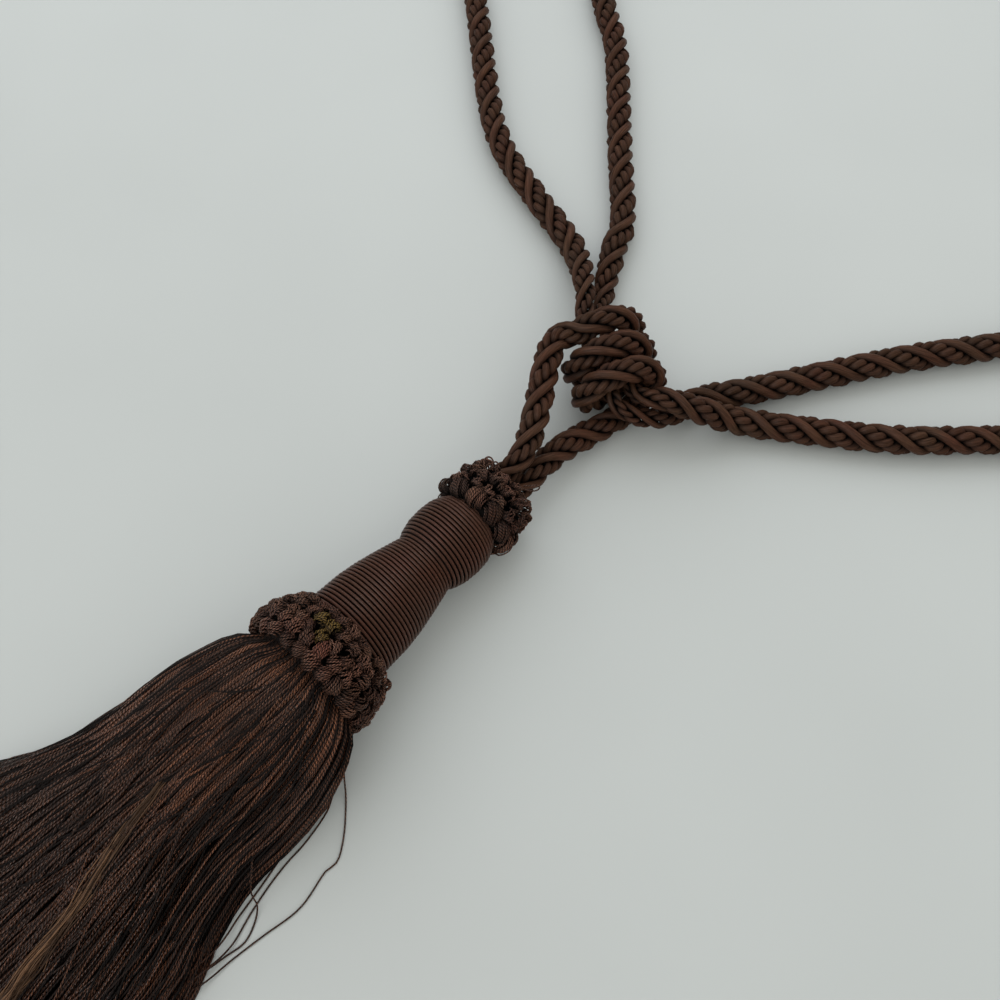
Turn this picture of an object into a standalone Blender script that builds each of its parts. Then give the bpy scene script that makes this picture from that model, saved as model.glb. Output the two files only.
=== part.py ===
"""Curtain tieback tassel, lying on a flat surface.

A tassel (wound head, two yarn ruffs and a skirt of yarn) hangs by a hanger rope. The hanger rope
is wrapped three times round an embrace rope, which leaves the knot as two loops.

Metres, +Z up, surface at Z = 0. The tassel lies along Y, with its skirt towards -Y, and the
origin is the flat spot under its lower ruff. The short tables below are in millimetres.
"""
import math
import random

import bmesh
import bpy
from mathutils import Vector

MM = 0.001

# Four-strand rope of 10 mm: two thick strands and two plain ones, laid right-handed.
ROPE_LAY = 29.5              # length of one full turn of the strands
STEPS_PER_LAY = 8
THICK_STRAND_REACH = 5.0     # radius of the rope over a thick strand
PLAIN_STRAND_REACH = 4.9     # radius of the rope over a plain strand
STRAND_VALLEY = 4.25         # radius of the rope between two strands

# Barrel knot: the hanger rope wraps an oval round the two embrace strands.
KNOT_CENTRE = Vector((-5.0, 130.6, 13.8))
KNOT_HEADING = math.radians(-32.0)    # direction in which the wraps follow each other
WRAP_HEADING = math.radians(70.0)     # direction in which each wrap is widest
WRAP_PITCH = 10.1
WRAP_HALF_WIDTH = 12.2
FIRST_WRAP_HALF_WIDTH = 11.8
WRAP_HALF_HEIGHT = 9.2
WRAP_START_ANGLE = math.radians(135.0)
WRAP_END_ANGLE = math.radians(-90.0 - 720.0)
WRAP_STEP = math.radians(30.0)
WRAP_SQUEEZE = 0.93

# Embrace rope, from the butt joint inside the knot round both loops and back.
# Columns: x, y, z, squeeze (share of the full rope diameter).
EMBRACE_ROUTE = (
    (-7.3, 127.8, 13.7, 0.62),
    (-20.0, 136.2, 13.5, 0.63),
    (-29.6, 148.0, 13.4, 0.76),
    (-47.3, 163.5, 5.9, 1.0),
    (-71.6, 172.3, 5.1, 1.0),
    (-96.9, 181.9, 5.1, 1.0),
    (-118.3, 197.0, 5.1, 1.0),
    (-159.7, 234.6, 5.1, 1.0),
    (-203.0, 272.3, 5.1, 1.0),
    (-222.0, 306.0, 5.1, 1.0),
    (-217.5, 322.5, 5.1, 1.0),
    (-204.0, 328.5, 5.1, 1.0),
    (-166.8, 312.3, 5.1, 1.0),
    (-121.0, 269.4, 5.1, 1.0),
    (-98.9, 250.8, 5.1, 1.0),
    (-64.6, 211.1, 5.1, 1.0),
    (-42.7, 185.9, 5.1, 1.0),
    (-36.5, 173.2, 5.2, 1.0),
    (-26.2, 155.0, 5.9, 0.80),
    (-15.6, 141.8, 12.5, 0.61),
    (-3.1, 133.7, 13.8, 0.62),
    (9.0, 127.1, 14.3, 0.60),
    (17.9, 130.4, 16.4, 0.82),
    (28.0, 136.6, 12.9, 0.96),
    (38.5, 145.6, 6.6, 1.0),
    (54.8, 157.1, 5.1, 1.0),
    (80.9, 175.7, 5.1, 1.0),
    (104.9, 197.4, 5.1, 1.0),
    (149.6, 238.4, 5.1, 1.0),
    (175.0, 275.0, 5.1, 1.0),
    (172.0, 296.0, 5.1, 1.0),
    (150.0, 297.0, 5.1, 1.0),
    (116.6, 269.0, 5.1, 1.0),
    (86.4, 229.4, 5.1, 1.0),
    (64.3, 201.9, 5.1, 1.0),
    (36.0, 161.1, 5.1, 1.0),
    (23.0, 143.4, 5.2, 0.93),
    (19.2, 129.6, 7.2, 0.76),
    (8.9, 120.2, 12.8, 0.61),
    (-6.8, 127.5, 13.7, 0.62),
)

# Hanger rope, from the head up to the knot and, after its wraps, back to the head. Same columns.
HANGER_UP_ROUTE = (
    (-3.6, 61.3, 15.0, 0.70),
    (-3.1, 72.0, 15.3, 0.70),
    (-2.2, 84.5, 17.2, 0.85),
    (-7.6, 97.0, 18.0, 0.95),
    (-14.8, 109.3, 19.0, 0.97),
    (-20.8, 121.5, 20.2, 0.94),
)
HANGER_DOWN_ROUTE = (
    (6.0, 114.2, 5.0, 0.93),
    (3.6, 105.2, 6.4, 1.0),
    (2.2, 94.6, 8.4, 0.95),
    (2.6, 84.4, 9.4, 0.85),
    (3.1, 72.0, 11.1, 0.70),
    (3.6, 61.3, 12.9, 0.70),
)

# Tassel axis: from the middle of the lower ruff down towards the rope.
AXIS_HEIGHT = 20.5
AXIS_TILT = math.radians(6.0)

# Wound head. Columns: place along the axis, radius.
HEAD_PROFILE = (
    (-5.6, 14.4),
    (-3.0, 15.1),
    (4.0, 15.0),
    (12.0, 14.6),
    (18.0, 14.4),
    (24.0, 13.6),
    (30.0, 12.4),
    (36.0, 11.0),
    (39.2, 10.2),
    (41.2, 11.3),
    (45.0, 12.4),
    (49.5, 12.7),
    (53.5, 12.4),
    (57.0, 11.1),
    (60.3, 8.6),
)
HEAD_SEGMENTS = 28
HEAD_SHARP_ANGLE = math.radians(50.0)

# Ruffs of yarn clusters. Columns: place along the axis, radius, lump height, lump phase (0 or 1).
LOWER_RUFF_PROFILE = (
    (10.2, 15.9, 0.3, 0),
    (7.4, 18.5, 1.1, 0),
    (4.0, 19.4, 0.2, 0),
    (0.6, 21.0, 1.1, 1),
    (-3.2, 20.7, 0.2, 0),
    (-7.0, 21.3, 1.1, 0),
    (-11.0, 19.2, 0.4, 1),
    (-9.6, 16.9, 0.0, 0),
    (-6.0, 15.6, 0.0, 0),
    (3.0, 15.5, 0.0, 0),
    (9.5, 15.1, 0.0, 0),
)
LOWER_RUFF_CLUSTERS = 30
LOWER_RUFF_SEED = 3
UPPER_RUFF_PROFILE = (
    (57.0, 12.0, 0.2, 0),
    (59.5, 13.9, 1.0, 0),
    (63.0, 13.7, 0.4, 0),
    (67.5, 14.2, 1.2, 1),
    (72.0, 13.2, 0.4, 0),
    (75.5, 12.2, 1.1, 0),
    (77.2, 10.0, 0.3, 1),
    (76.4, 8.2, 0.0, 0),
    (68.0, 7.8, 0.0, 0),
    (60.75, 7.8, 0.0, 0),
    (60.75, 9.4, 0.0, 0),
)
UPPER_RUFF_CLUSTERS = 13
UPPER_RUFF_SEED = 5
CLUSTER_UNEVENNESS = 0.35
PRESSED_BAND = 1.3           # yarn lower than this lies flat on the surface

# Skirt: locks of yarn rooted in a backing disc, and fanned out where they lie.
BACKING_BACK = -6.0
BACKING_FRONT = -8.2
BACKING_RADIUS = 15.1
LOCK_CELL_WIDTH = 0.96
LOCK_CELL_HEIGHT = 6.0
SKIRT_SEED = 7
SKIRT_TIP = -163.0
TIP_ROUNDING = 15.0
TIP_UNEVENNESS = 9.0
LOCK_WANDER = 0.09           # share of a cell by which a lock strays sideways
SECTION_EASE = 0.4           # 0 blends the sections below evenly, 1 with a full ease in and out
# Columns: y, middle x, half width, lowest z, height, how far the round bundle has slumped (0 to 1).
SKIRT_SECTIONS = (
    (-8.2, 0.0, 15.1, 6.3, 30.2, 0.0),
    (-12.0, -0.6, 19.6, 3.4, 36.6, 0.0),
    (-20.0, -2.0, 25.8, 0.8, 37.0, 0.15),
    (-38.0, -5.6, 33.2, 0.1, 28.5, 0.7),
    (-52.0, -6.4, 35.8, 0.1, 23.0, 0.95),
    (-83.0, -7.2, 43.6, 0.1, 16.5, 1.0),
    (-125.0, -9.0, 53.5, 0.1, 12.5, 1.0),
    (-175.0, -10.5, 62.0, 0.1, 10.5, 1.0),
)
# Columns: share of the lock's length, share of its cell that the lock fills.
LOCK_STATIONS = (
    (0.055, 0.74),
    (0.2, 0.76),
    (0.52, 0.72),
    (1.0, 0.34),
)

ROPE_BROWN = (0.075, 0.043, 0.028)
HEAD_BROWN = (0.085, 0.045, 0.036)
RUFF_BROWN = (0.060, 0.034, 0.026)
SKIRT_BROWN = (0.040, 0.022, 0.017)


def clear_scene():
    for old in list(bpy.data.objects):
        bpy.data.objects.remove(old, do_unlink=True)


def yarn_material(name, colour, roughness):
    material = bpy.data.materials.new(name)
    material.use_nodes = True
    shader = material.node_tree.nodes["Principled BSDF"]
    shader.inputs["Base Color"].default_value = (*colour, 1.0)
    shader.inputs["Roughness"].default_value = roughness
    shader.inputs["Metallic"].default_value = 0.0
    return material


def add_mesh_object(name, mesh_builder, material):
    """Turn a bmesh in millimetres into a closed, smooth-shaded object in metres."""
    bmesh.ops.recalc_face_normals(mesh_builder, faces=mesh_builder.faces)
    bmesh.ops.scale(mesh_builder, vec=(MM, MM, MM), verts=mesh_builder.verts)
    mesh = bpy.data.meshes.new(name)
    mesh_builder.to_mesh(mesh)
    mesh_builder.free()
    mesh.shade_smooth()
    mesh.materials.append(material)
    part = bpy.data.objects.new(name, mesh)
    bpy.context.scene.collection.objects.link(part)
    return part


# ---- ropes ----

def smooth_point(before, start, end, after, share):
    """One point of a Catmull-Rom curve between start and end."""
    square = share * share
    cube = square * share
    return tuple(
        0.5 * (2.0 * b + (c - a) * share + (2.0 * a - 5.0 * b + 4.0 * c - d) * square
               + (3.0 * b - a - 3.0 * c + d) * cube)
        for a, b, c, d in zip(before, start, end, after))


def smooth_route(route, samples=24):
    """A dense smooth curve through the route's points, with the squeeze as a fourth value."""
    dense = []
    last = len(route) - 1
    for index in range(last):
        before = route[max(index - 1, 0)]
        after = route[min(index + 2, last)]
        for sample in range(samples):
            share = sample / samples
            dense.append(smooth_point(before, route[index], route[index + 1], after, share))
    dense.append(route[-1])
    return dense


def even_steps(dense, step):
    """Points a step apart along a dense curve, with its ends kept."""
    lengths = [0.0]
    for first, second in zip(dense, dense[1:]):
        lengths.append(lengths[-1] + math.dist(first[:3], second[:3]))
    count = max(2, round(lengths[-1] / step))
    points = []
    index = 0
    for number in range(count + 1):
        wanted = lengths[-1] * number / count
        while index < len(dense) - 2 and lengths[index + 1] < wanted:
            index += 1
        span = lengths[index + 1] - lengths[index]
        share = (wanted - lengths[index]) / span
        first, second = dense[index], dense[index + 1]
        points.append(tuple(a + (b - a) * share for a, b in zip(first, second)))
    return points


def wrap_points():
    """The three wraps of the knot, from its far end towards the tassel's side."""
    along = Vector((math.cos(KNOT_HEADING), math.sin(KNOT_HEADING), 0.0))
    across = Vector((math.cos(WRAP_HEADING), math.sin(WRAP_HEADING), 0.0))
    quarter = math.pi / 2.0
    turn = 2.0 * math.pi
    count = round((WRAP_START_ANGLE - WRAP_END_ANGLE) / WRAP_STEP)
    points = []
    for number in range(count + 1):
        angle = WRAP_START_ANGLE + (WRAP_END_ANGLE - WRAP_START_ANGLE) * number / count
        turns_done = (quarter - angle) / turn
        widening = min(1.0, max(0.0, turns_done))
        half_width = FIRST_WRAP_HALF_WIDTH + (WRAP_HALF_WIDTH - FIRST_WRAP_HALF_WIDTH) * widening
        place = KNOT_CENTRE + along * (turns_done - 1.0) * WRAP_PITCH
        place = place + across * half_width * math.cos(angle)
        height = place.z + WRAP_HALF_HEIGHT * math.sin(angle)
        points.append((place.x, place.y, height, WRAP_SQUEEZE))
    return points


def rope_profile():
    """The four-lobed cross-section, a closed guide curve that is not part of the product."""
    reach = (THICK_STRAND_REACH, STRAND_VALLEY, PLAIN_STRAND_REACH, STRAND_VALLEY)
    curve = bpy.data.curves.new("rope_profile", "CURVE")
    curve.dimensions = "2D"
    spline = curve.splines.new("POLY")
    corners = 2 * len(reach)
    spline.points.add(corners - 1)
    for corner in range(corners):
        angle = -2.0 * math.pi * corner / corners
        radius = reach[corner % len(reach)] * MM
        spline.points[corner].co = (radius * math.cos(angle), radius * math.sin(angle), 0.0, 1.0)
    spline.use_cyclic_u = True
    guide = bpy.data.objects.new("rope_profile", curve)
    guide.hide_render = True
    guide.display_type = "WIRE"
    bpy.context.scene.collection.objects.link(guide)
    return guide


def add_rope(name, route, profile, material):
    """A twisted rope along a route, as a curve whose points turn with the lay."""
    step = ROPE_LAY / STEPS_PER_LAY
    points = even_steps(smooth_route(route), step)
    curve = bpy.data.curves.new(name, "CURVE")
    curve.dimensions = "3D"
    curve.bevel_mode = "OBJECT"
    curve.bevel_object = profile
    curve.use_fill_caps = True
    spline = curve.splines.new("POLY")
    spline.points.add(len(points) - 1)
    for number, (x, y, z, squeeze) in enumerate(points):
        point = spline.points[number]
        point.co = (x * MM, y * MM, z * MM, 1.0)
        point.radius = squeeze
        point.tilt = -2.0 * math.pi * number / STEPS_PER_LAY
    curve.materials.append(material)
    rope = bpy.data.objects.new(name, curve)
    bpy.context.scene.collection.objects.link(rope)
    return rope


# ---- head and ruffs ----

def axis_point(along, radius, angle):
    """A point round the tassel's axis; angle 0 is towards +X, a quarter turn is upwards."""
    side = radius * math.cos(angle)
    up = radius * math.sin(angle)
    y = along * math.cos(AXIS_TILT) + up * math.sin(AXIS_TILT)
    z = AXIS_HEIGHT - along * math.sin(AXIS_TILT) + up * math.cos(AXIS_TILT)
    return Vector((side, y, z))


def add_head(material):
    """The turned mould under its winding: bell, waist and bulb, closed by two flat ends."""
    builder = bmesh.new()
    outline = [builder.verts.new((radius, 0.0, along)) for along, radius in HEAD_PROFILE]
    edges = [builder.edges.new(pair) for pair in zip(outline, outline[1:])]
    bmesh.ops.spin(builder, geom=outline + edges, cent=(0.0, 0.0, 0.0), axis=(0.0, 0.0, 1.0),
                   angle=2.0 * math.pi, steps=HEAD_SEGMENTS, use_merge=True)
    bmesh.ops.holes_fill(builder, edges=builder.edges, sides=HEAD_SEGMENTS)
    head = add_mesh_object("head", builder, material)
    head.data.set_sharp_from_angle(angle=HEAD_SHARP_ANGLE)
    head.location = (0.0, 0.0, AXIS_HEIGHT * MM)
    head.rotation_euler = (-(math.pi / 2.0 + AXIS_TILT), 0.0, 0.0)
    return head


def add_ruff(name, profile, clusters, seed, material):
    """A ring of yarn clusters, pressed flat where it lies on the surface."""
    chance = random.Random(seed)
    steps = 2 * clusters
    builder = bmesh.new()
    rings = []
    for step in range(steps):
        angle = 2.0 * math.pi * step / steps
        ring = []
        for along, radius, lump, phase in profile:
            crest = 1.0 if (step + phase) % 2 == 0 else -1.0
            uneven = 1.0 + CLUSTER_UNEVENNESS * chance.uniform(-1.0, 1.0)
            point = axis_point(along, radius + lump * crest * uneven, angle)
            if point.z < PRESSED_BAND:
                point.z = 0.0
            ring.append(builder.verts.new(point))
        rings.append(ring)
    for step in range(steps):
        ring, following = rings[step], rings[(step + 1) % steps]
        for number in range(len(profile)):
            beyond = (number + 1) % len(profile)
            builder.faces.new((ring[number], ring[beyond], following[beyond], following[number]))
    return add_mesh_object(name, builder, material)


# ---- skirt ----

def skirt_section(y):
    """The skirt's section at y, blended between the table's rows."""
    if y >= SKIRT_SECTIONS[0][0]:
        return SKIRT_SECTIONS[0]
    for first, second in zip(SKIRT_SECTIONS, SKIRT_SECTIONS[1:]):
        if y >= second[0]:
            share = (y - first[0]) / (second[0] - first[0])
            eased = share * share * (3.0 - 2.0 * share)
            share += (eased - share) * SECTION_EASE
            return tuple(a + (b - a) * share for a, b in zip(first, second))
    return SKIRT_SECTIONS[-1]


def place_in_skirt(across, upward, y):
    """Where a place in the unit disc of the bundle's section lies at y."""
    _, middle, half_width, lowest, height, slump = skirt_section(y)
    column = math.sqrt(max(0.0, 1.0 - across * across))
    round_z = lowest + height * 0.5 * (1.0 + upward)
    slumped_z = lowest + height * 0.5 * (column + upward)
    z = round_z + (slumped_z - round_z) * slump
    return Vector((middle + half_width * across, y, z))


def lock_cells():
    """Diamond cells that tile the backing's disc: the grid places of each cell's middle."""
    half_width = 0.5 * LOCK_CELL_WIDTH / BACKING_RADIUS
    half_height = 0.5 * LOCK_CELL_HEIGHT / BACKING_RADIUS
    columns = int(1.0 / half_width)
    rows = int(1.0 / half_height)
    cells = []
    for row in range(-rows, rows + 1):
        for column in range(-columns, columns + 1):
            if (row + column) % 2 == 0:
                continue
            reach_across = (abs(column) + 1) * half_width
            reach_up = (abs(row) + 1) * half_height
            side_inside = math.hypot(reach_across, row * half_height) <= 1.0
            tip_inside = math.hypot(column * half_width, reach_up) <= 1.0
            if side_inside and tip_inside:
                cells.append((column, row))
    return cells, half_width, half_height


def add_lock(builder, corners, cell, half_width, half_height, chance):
    """Extend one cell of the backing's face into a four-sided lock."""
    column, row = cell
    across, upward = column * half_width, row * half_height
    offsets = ((half_width, 0.0), (0.0, half_height), (-half_width, 0.0), (0.0, -half_height))
    tip = SKIRT_TIP + TIP_ROUNDING * across * across + TIP_UNEVENNESS * chance.random()
    wander = [LOCK_WANDER * half_width * chance.uniform(-1.0, 1.0) for _ in LOCK_STATIONS]
    previous = corners
    for (share, fill), stray in zip(LOCK_STATIONS, wander):
        y = BACKING_FRONT + (tip - BACKING_FRONT) * share
        current = []
        for side, up in offsets:
            place = place_in_skirt(across + stray + side * fill, upward + up * fill, y)
            current.append(builder.verts.new(place))
        for number in range(4):
            beyond = (number + 1) % 4
            builder.faces.new((previous[number], previous[beyond],
                               current[beyond], current[number]))
        previous = current
    builder.faces.new(previous)


def add_skirt(material):
    """The backing disc behind all cells, with a lock grown from each of them."""
    chance = random.Random(SKIRT_SEED)
    builder = bmesh.new()
    cells, half_width, half_height = lock_cells()
    front, back = {}, {}

    def grid_vertex(store, column, row, along):
        key = (column, row)
        if key not in store:
            across, upward = column * half_width, row * half_height
            radius = BACKING_RADIUS * math.hypot(across, upward)
            place = axis_point(along, radius, math.atan2(upward, across))
            store[key] = builder.verts.new(place)
        return store[key]

    uses = {}
    for column, row in cells:
        around = ((column + 1, row), (column, row + 1), (column - 1, row), (column, row - 1))
        for number in range(4):
            edge = (around[number], around[(number + 1) % 4])
            uses[frozenset(edge)] = uses.get(frozenset(edge), 0) + 1
    for cell in cells:
        column, row = cell
        around = ((column + 1, row), (column, row + 1), (column - 1, row), (column, row - 1))
        corners = [grid_vertex(front, *place, BACKING_FRONT) for place in around]
        behind = [grid_vertex(back, *place, BACKING_BACK) for place in around]
        builder.faces.new(behind)
        add_lock(builder, corners, cell, half_width, half_height, chance)
        for number in range(4):
            beyond = (number + 1) % 4
            if uses[frozenset((around[number], around[beyond]))] == 1:
                builder.faces.new((behind[number], behind[beyond],
                                   corners[beyond], corners[number]))
    return add_mesh_object("skirt", builder, material)


def main():
    clear_scene()
    rope = yarn_material("rope_yarn", ROPE_BROWN, 0.55)
    profile = rope_profile()
    add_rope("embrace_rope", EMBRACE_ROUTE, profile, rope)
    hanger_route = HANGER_UP_ROUTE + tuple(wrap_points()) + HANGER_DOWN_ROUTE
    add_rope("hanger_rope", hanger_route, profile, rope)
    add_head(yarn_material("head_winding", HEAD_BROWN, 0.5))
    ruff = yarn_material("ruff_yarn", RUFF_BROWN, 0.6)
    add_ruff("lower_ruff", LOWER_RUFF_PROFILE, LOWER_RUFF_CLUSTERS, LOWER_RUFF_SEED, ruff)
    add_ruff("upper_ruff", UPPER_RUFF_PROFILE, UPPER_RUFF_CLUSTERS, UPPER_RUFF_SEED, ruff)
    add_skirt(yarn_material("skirt_yarn", SKIRT_BROWN, 0.5))


main()
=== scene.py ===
"""Curtain tieback tassel, dressed: laid ropes, a wound head, two yarn ruffs and a skirt of yarn.

Everything is in metres in the part's own frame: +Z up from the surface, and +Y along the tassel,
from its skirt towards its rope.
"""

import math
import random

import bpy
from bpy.props import FloatProperty, FloatVectorProperty, IntProperty, PointerProperty
from mathutils import Matrix, Vector


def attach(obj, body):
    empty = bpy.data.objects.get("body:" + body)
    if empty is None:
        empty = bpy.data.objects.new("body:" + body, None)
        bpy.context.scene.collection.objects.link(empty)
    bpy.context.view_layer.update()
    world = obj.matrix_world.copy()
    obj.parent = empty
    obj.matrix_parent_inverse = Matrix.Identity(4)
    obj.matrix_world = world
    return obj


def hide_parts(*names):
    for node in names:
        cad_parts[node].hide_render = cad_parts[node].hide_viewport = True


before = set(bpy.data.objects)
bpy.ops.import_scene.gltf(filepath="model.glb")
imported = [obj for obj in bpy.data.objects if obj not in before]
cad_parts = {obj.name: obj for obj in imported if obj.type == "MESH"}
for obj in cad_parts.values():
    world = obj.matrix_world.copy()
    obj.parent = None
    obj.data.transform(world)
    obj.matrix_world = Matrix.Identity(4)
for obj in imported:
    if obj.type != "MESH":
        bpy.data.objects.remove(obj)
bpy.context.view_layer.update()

bl_info = {
    "name": "Curtain tieback tassel",
    "version": (1, 0, 0),
    "blender": (4, 5, 0),
    "location": "View3D > Sidebar > Tieback",
    "description": "Makes the rope, wound head, yarn ruffs and skirt of a curtain tieback tassel",
    "category": "Object",
}

TURN = 2.0 * math.pi
BODY = "root"

# ---- camera ----

CAMERA_PLACE = (0.088169, -0.025552, 0.290018)
CAMERA_AIM = (-0.002407, 0.074873, 0.0)
CAMERA_RIGHT = (0.74258, 0.66976, 0.0)
SENSOR_WIDTH = 36.0
CAMERA_NEAR = 0.01

# ---- ropes: x, y, z and squeeze, which is the share of the full rope diameter ----

# From the butt joint inside the knot round both loops and back.
EMBRACE_ROUTE = (
    (-0.0073, 0.1278, 0.0137, 0.62), (-0.0200, 0.1362, 0.0135, 0.63),
    (-0.0296, 0.1480, 0.0134, 0.76), (-0.0473, 0.1635, 0.0059, 1),
    (-0.0716, 0.1723, 0.0051, 1), (-0.0969, 0.1819, 0.0051, 1),
    (-0.1183, 0.1970, 0.0051, 1), (-0.1597, 0.2346, 0.0051, 1), (-0.2030, 0.2723, 0.0051, 1),
    (-0.2220, 0.3060, 0.0051, 1), (-0.2175, 0.3225, 0.0051, 1), (-0.2040, 0.3285, 0.0051, 1),
    (-0.1668, 0.3123, 0.0051, 1), (-0.1210, 0.2694, 0.0051, 1), (-0.0989, 0.2508, 0.0051, 1),
    (-0.0646, 0.2111, 0.0051, 1), (-0.0427, 0.1859, 0.0051, 1), (-0.0365, 0.1732, 0.0052, 1),
    (-0.0262, 0.1550, 0.0059, 0.8), (-0.0156, 0.1418, 0.0125, 0.61),
    (-0.0031, 0.1337, 0.0138, 0.62), (0.0090, 0.1271, 0.0143, 0.6), (0.0179, 0.1304, 0.0164, 0.82),
    (0.0280, 0.1366, 0.0129, 0.96), (0.0385, 0.1456, 0.0066, 1), (0.0548, 0.1571, 0.0051, 1),
    (0.0809, 0.1757, 0.0051, 1),
    (0.1049, 0.1974, 0.0051, 1), (0.1496, 0.2384, 0.0051, 1), (0.1750, 0.2750, 0.0051, 1),
    (0.1720, 0.2960, 0.0051, 1), (0.1500, 0.2970, 0.0051, 1), (0.1166, 0.2690, 0.0051, 1),
    (0.0864, 0.2294, 0.0051, 1), (0.0643, 0.2019, 0.0051, 1), (0.0360, 0.1611, 0.0051, 1),
    (0.0230, 0.1434, 0.0052, 0.93), (0.0192, 0.1296, 0.0072, 0.76), (0.0089, 0.1202, 0.0128, 0.61),
    (-0.0068, 0.1275, 0.0137, 0.62),
)

# From the head up to the knot, and back after its wraps.
HANGER_UP_ROUTE = (
    (-0.0036, 0.0613, 0.0150, 0.7), (-0.0031, 0.0720, 0.0153, 0.7), (-0.0022, 0.0845, 0.0172, 0.85),
    (-0.0076, 0.0970, 0.0180, 0.95), (-0.0148, 0.1093, 0.0190, 0.97),
    (-0.0208, 0.1215, 0.0202, 0.94),
)
HANGER_DOWN_ROUTE = (
    (0.0060, 0.1142, 0.0050, 0.93), (0.0036, 0.1052, 0.0064, 1), (0.0022, 0.0946, 0.0084, 0.95),
    (0.0026, 0.0844, 0.0094, 0.85), (0.0031, 0.0720, 0.0111, 0.7), (0.0036, 0.0613, 0.0129, 0.7),
)

KNOT_CENTRE = Vector((-0.0050, 0.1306, 0.0138))
KNOT_HEADING = math.radians(-32.0)
WRAP_HEADING = math.radians(70.0)
WRAP_PITCH = 0.0101
WRAP_HALF_WIDTH = 0.0122
FIRST_WRAP_HALF_WIDTH = 0.0118
WRAP_HALF_HEIGHT = 0.0092
WRAP_START_ANGLE = math.radians(135.0)
WRAP_END_ANGLE = math.radians(-810.0)
WRAP_STEP = math.radians(30.0)
WRAP_SQUEEZE = 0.93

ROUTE_SAMPLES = 24           # points from one place of a route to the next, before evening out
CENTRELINE_STEP = 0.0005

# ---- head: place along the tassel's axis, radius ----

AXIS_HEIGHT = 0.0205
AXIS_TILT = math.radians(6.0)
HEAD_PROFILE = (
    (-0.0056, 0.0144), (-0.0030, 0.0151), (0.0040, 0.0150), (0.0120, 0.0146), (0.0180, 0.0144),
    (0.0240, 0.0136), (0.0300, 0.0124), (0.0360, 0.0110), (0.0392, 0.0102), (0.0412, 0.0113),
    (0.0450, 0.0124), (0.0495, 0.0127), (0.0535, 0.0124), (0.0570, 0.0111), (0.0603, 0.0086),
)

# ---- ruffs: place along the axis, radius, of each row of corners between the clusters ----

# The lower ruff has smooth bundles of yarn next to the skirt, and tangled loops next to the head.
LOWER_BUNDLE_ROWS = ((-0.0090, 0.0182), (-0.0060, 0.0194), (-0.0026, 0.0194))
LOWER_LOOP_ROWS = ((-0.0026, 0.0192), (0.0006, 0.0188), (0.0038, 0.0173), (0.0064, 0.0156))
LOWER_RUFF_INNER = 0.0149
# The upper ruff has large petals of yarn next to the head, and tangled loops round the rope.
PETAL_ROWS = ((0.0578, 0.0108), (0.0640, 0.0128))
UPPER_LOOP_ROWS = ((0.0622, 0.0116), (0.0664, 0.0117), (0.0704, 0.0106), (0.0738, 0.0088))
UPPER_RUFF_INNER = 0.0078
# The ruffs' parts: name, solid, rows, inner radius, clusters round the axis, the setting that
# holds the yarn's radius, loops in a cluster beyond the setting's, seed, and the values of
# RUFF_INPUTS.
RUFF_INPUTS = ("Cluster Length", "Cluster Width", "Loop Height", "Slant", "Slant Spread",
               "Tangle", "Crinkle", "Jitter", "Sink")
RUFF_PARTS = (
    ("lower_ruff_bundles", "lower_ruff", LOWER_BUNDLE_ROWS, LOWER_RUFF_INNER, 27, "lower_yarn",
     0, 5, (0.0046, 0.0042, 0.0027, -0.5, 0.8, 0.12, 0.0006, 0.0005, 0.0014)),
    ("lower_ruff_loops", "lower_ruff", LOWER_LOOP_ROWS, LOWER_RUFF_INNER, 29, "upper_yarn",
     1, 16, (0.0040, 0.0036, 0.0023, 0.2, 1.4, 0.4, 0.0009, 0.0005, 0.0014)),
    ("upper_ruff_petals", "upper_ruff", PETAL_ROWS, UPPER_RUFF_INNER, 11, "upper_yarn",
     5, 7, (0.0064, 0.0056, 0.0030, 0.6, 0.7, 0.08, 0.0005, 0.0004, 0.0009)),
    ("upper_ruff_loops", "upper_ruff", UPPER_LOOP_ROWS, UPPER_RUFF_INNER, 16, "upper_yarn",
     3, 8, (0.0038, 0.0042, 0.0026, 0.0, 1.5, 0.6, 0.0010, 0.0005, 0.0009)),
)
RUFF_EDGE = 0.0004           # how far the band under a ruff goes past its outer rows
RUFF_LOWEST = 0.0016         # of the band; its loops go down to LOOP_LOWEST
LOOP_LOWEST = 0.0002

# Tufts of another shade in the ruffs: place, reach and tint.
OLIVE_TINT = 1.2
RED_TINT = 1.8
TUFTS = (
    ((0.0002, 0.0030, 0.0382), 0.0024, OLIVE_TINT),
    ((0.0022, 0.0002, 0.0392), 0.0022, OLIVE_TINT),
    ((0.0062, -0.0024, 0.0392), 0.0018, RED_TINT),
)
# Between which tints yarn is a tuft's, and the tuft's colour.
TUFT_COLOURS = ((1.0, 1.5, (0.068, 0.040, 0.010)), (1.5, 2.1, (0.080, 0.028, 0.018)))

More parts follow.
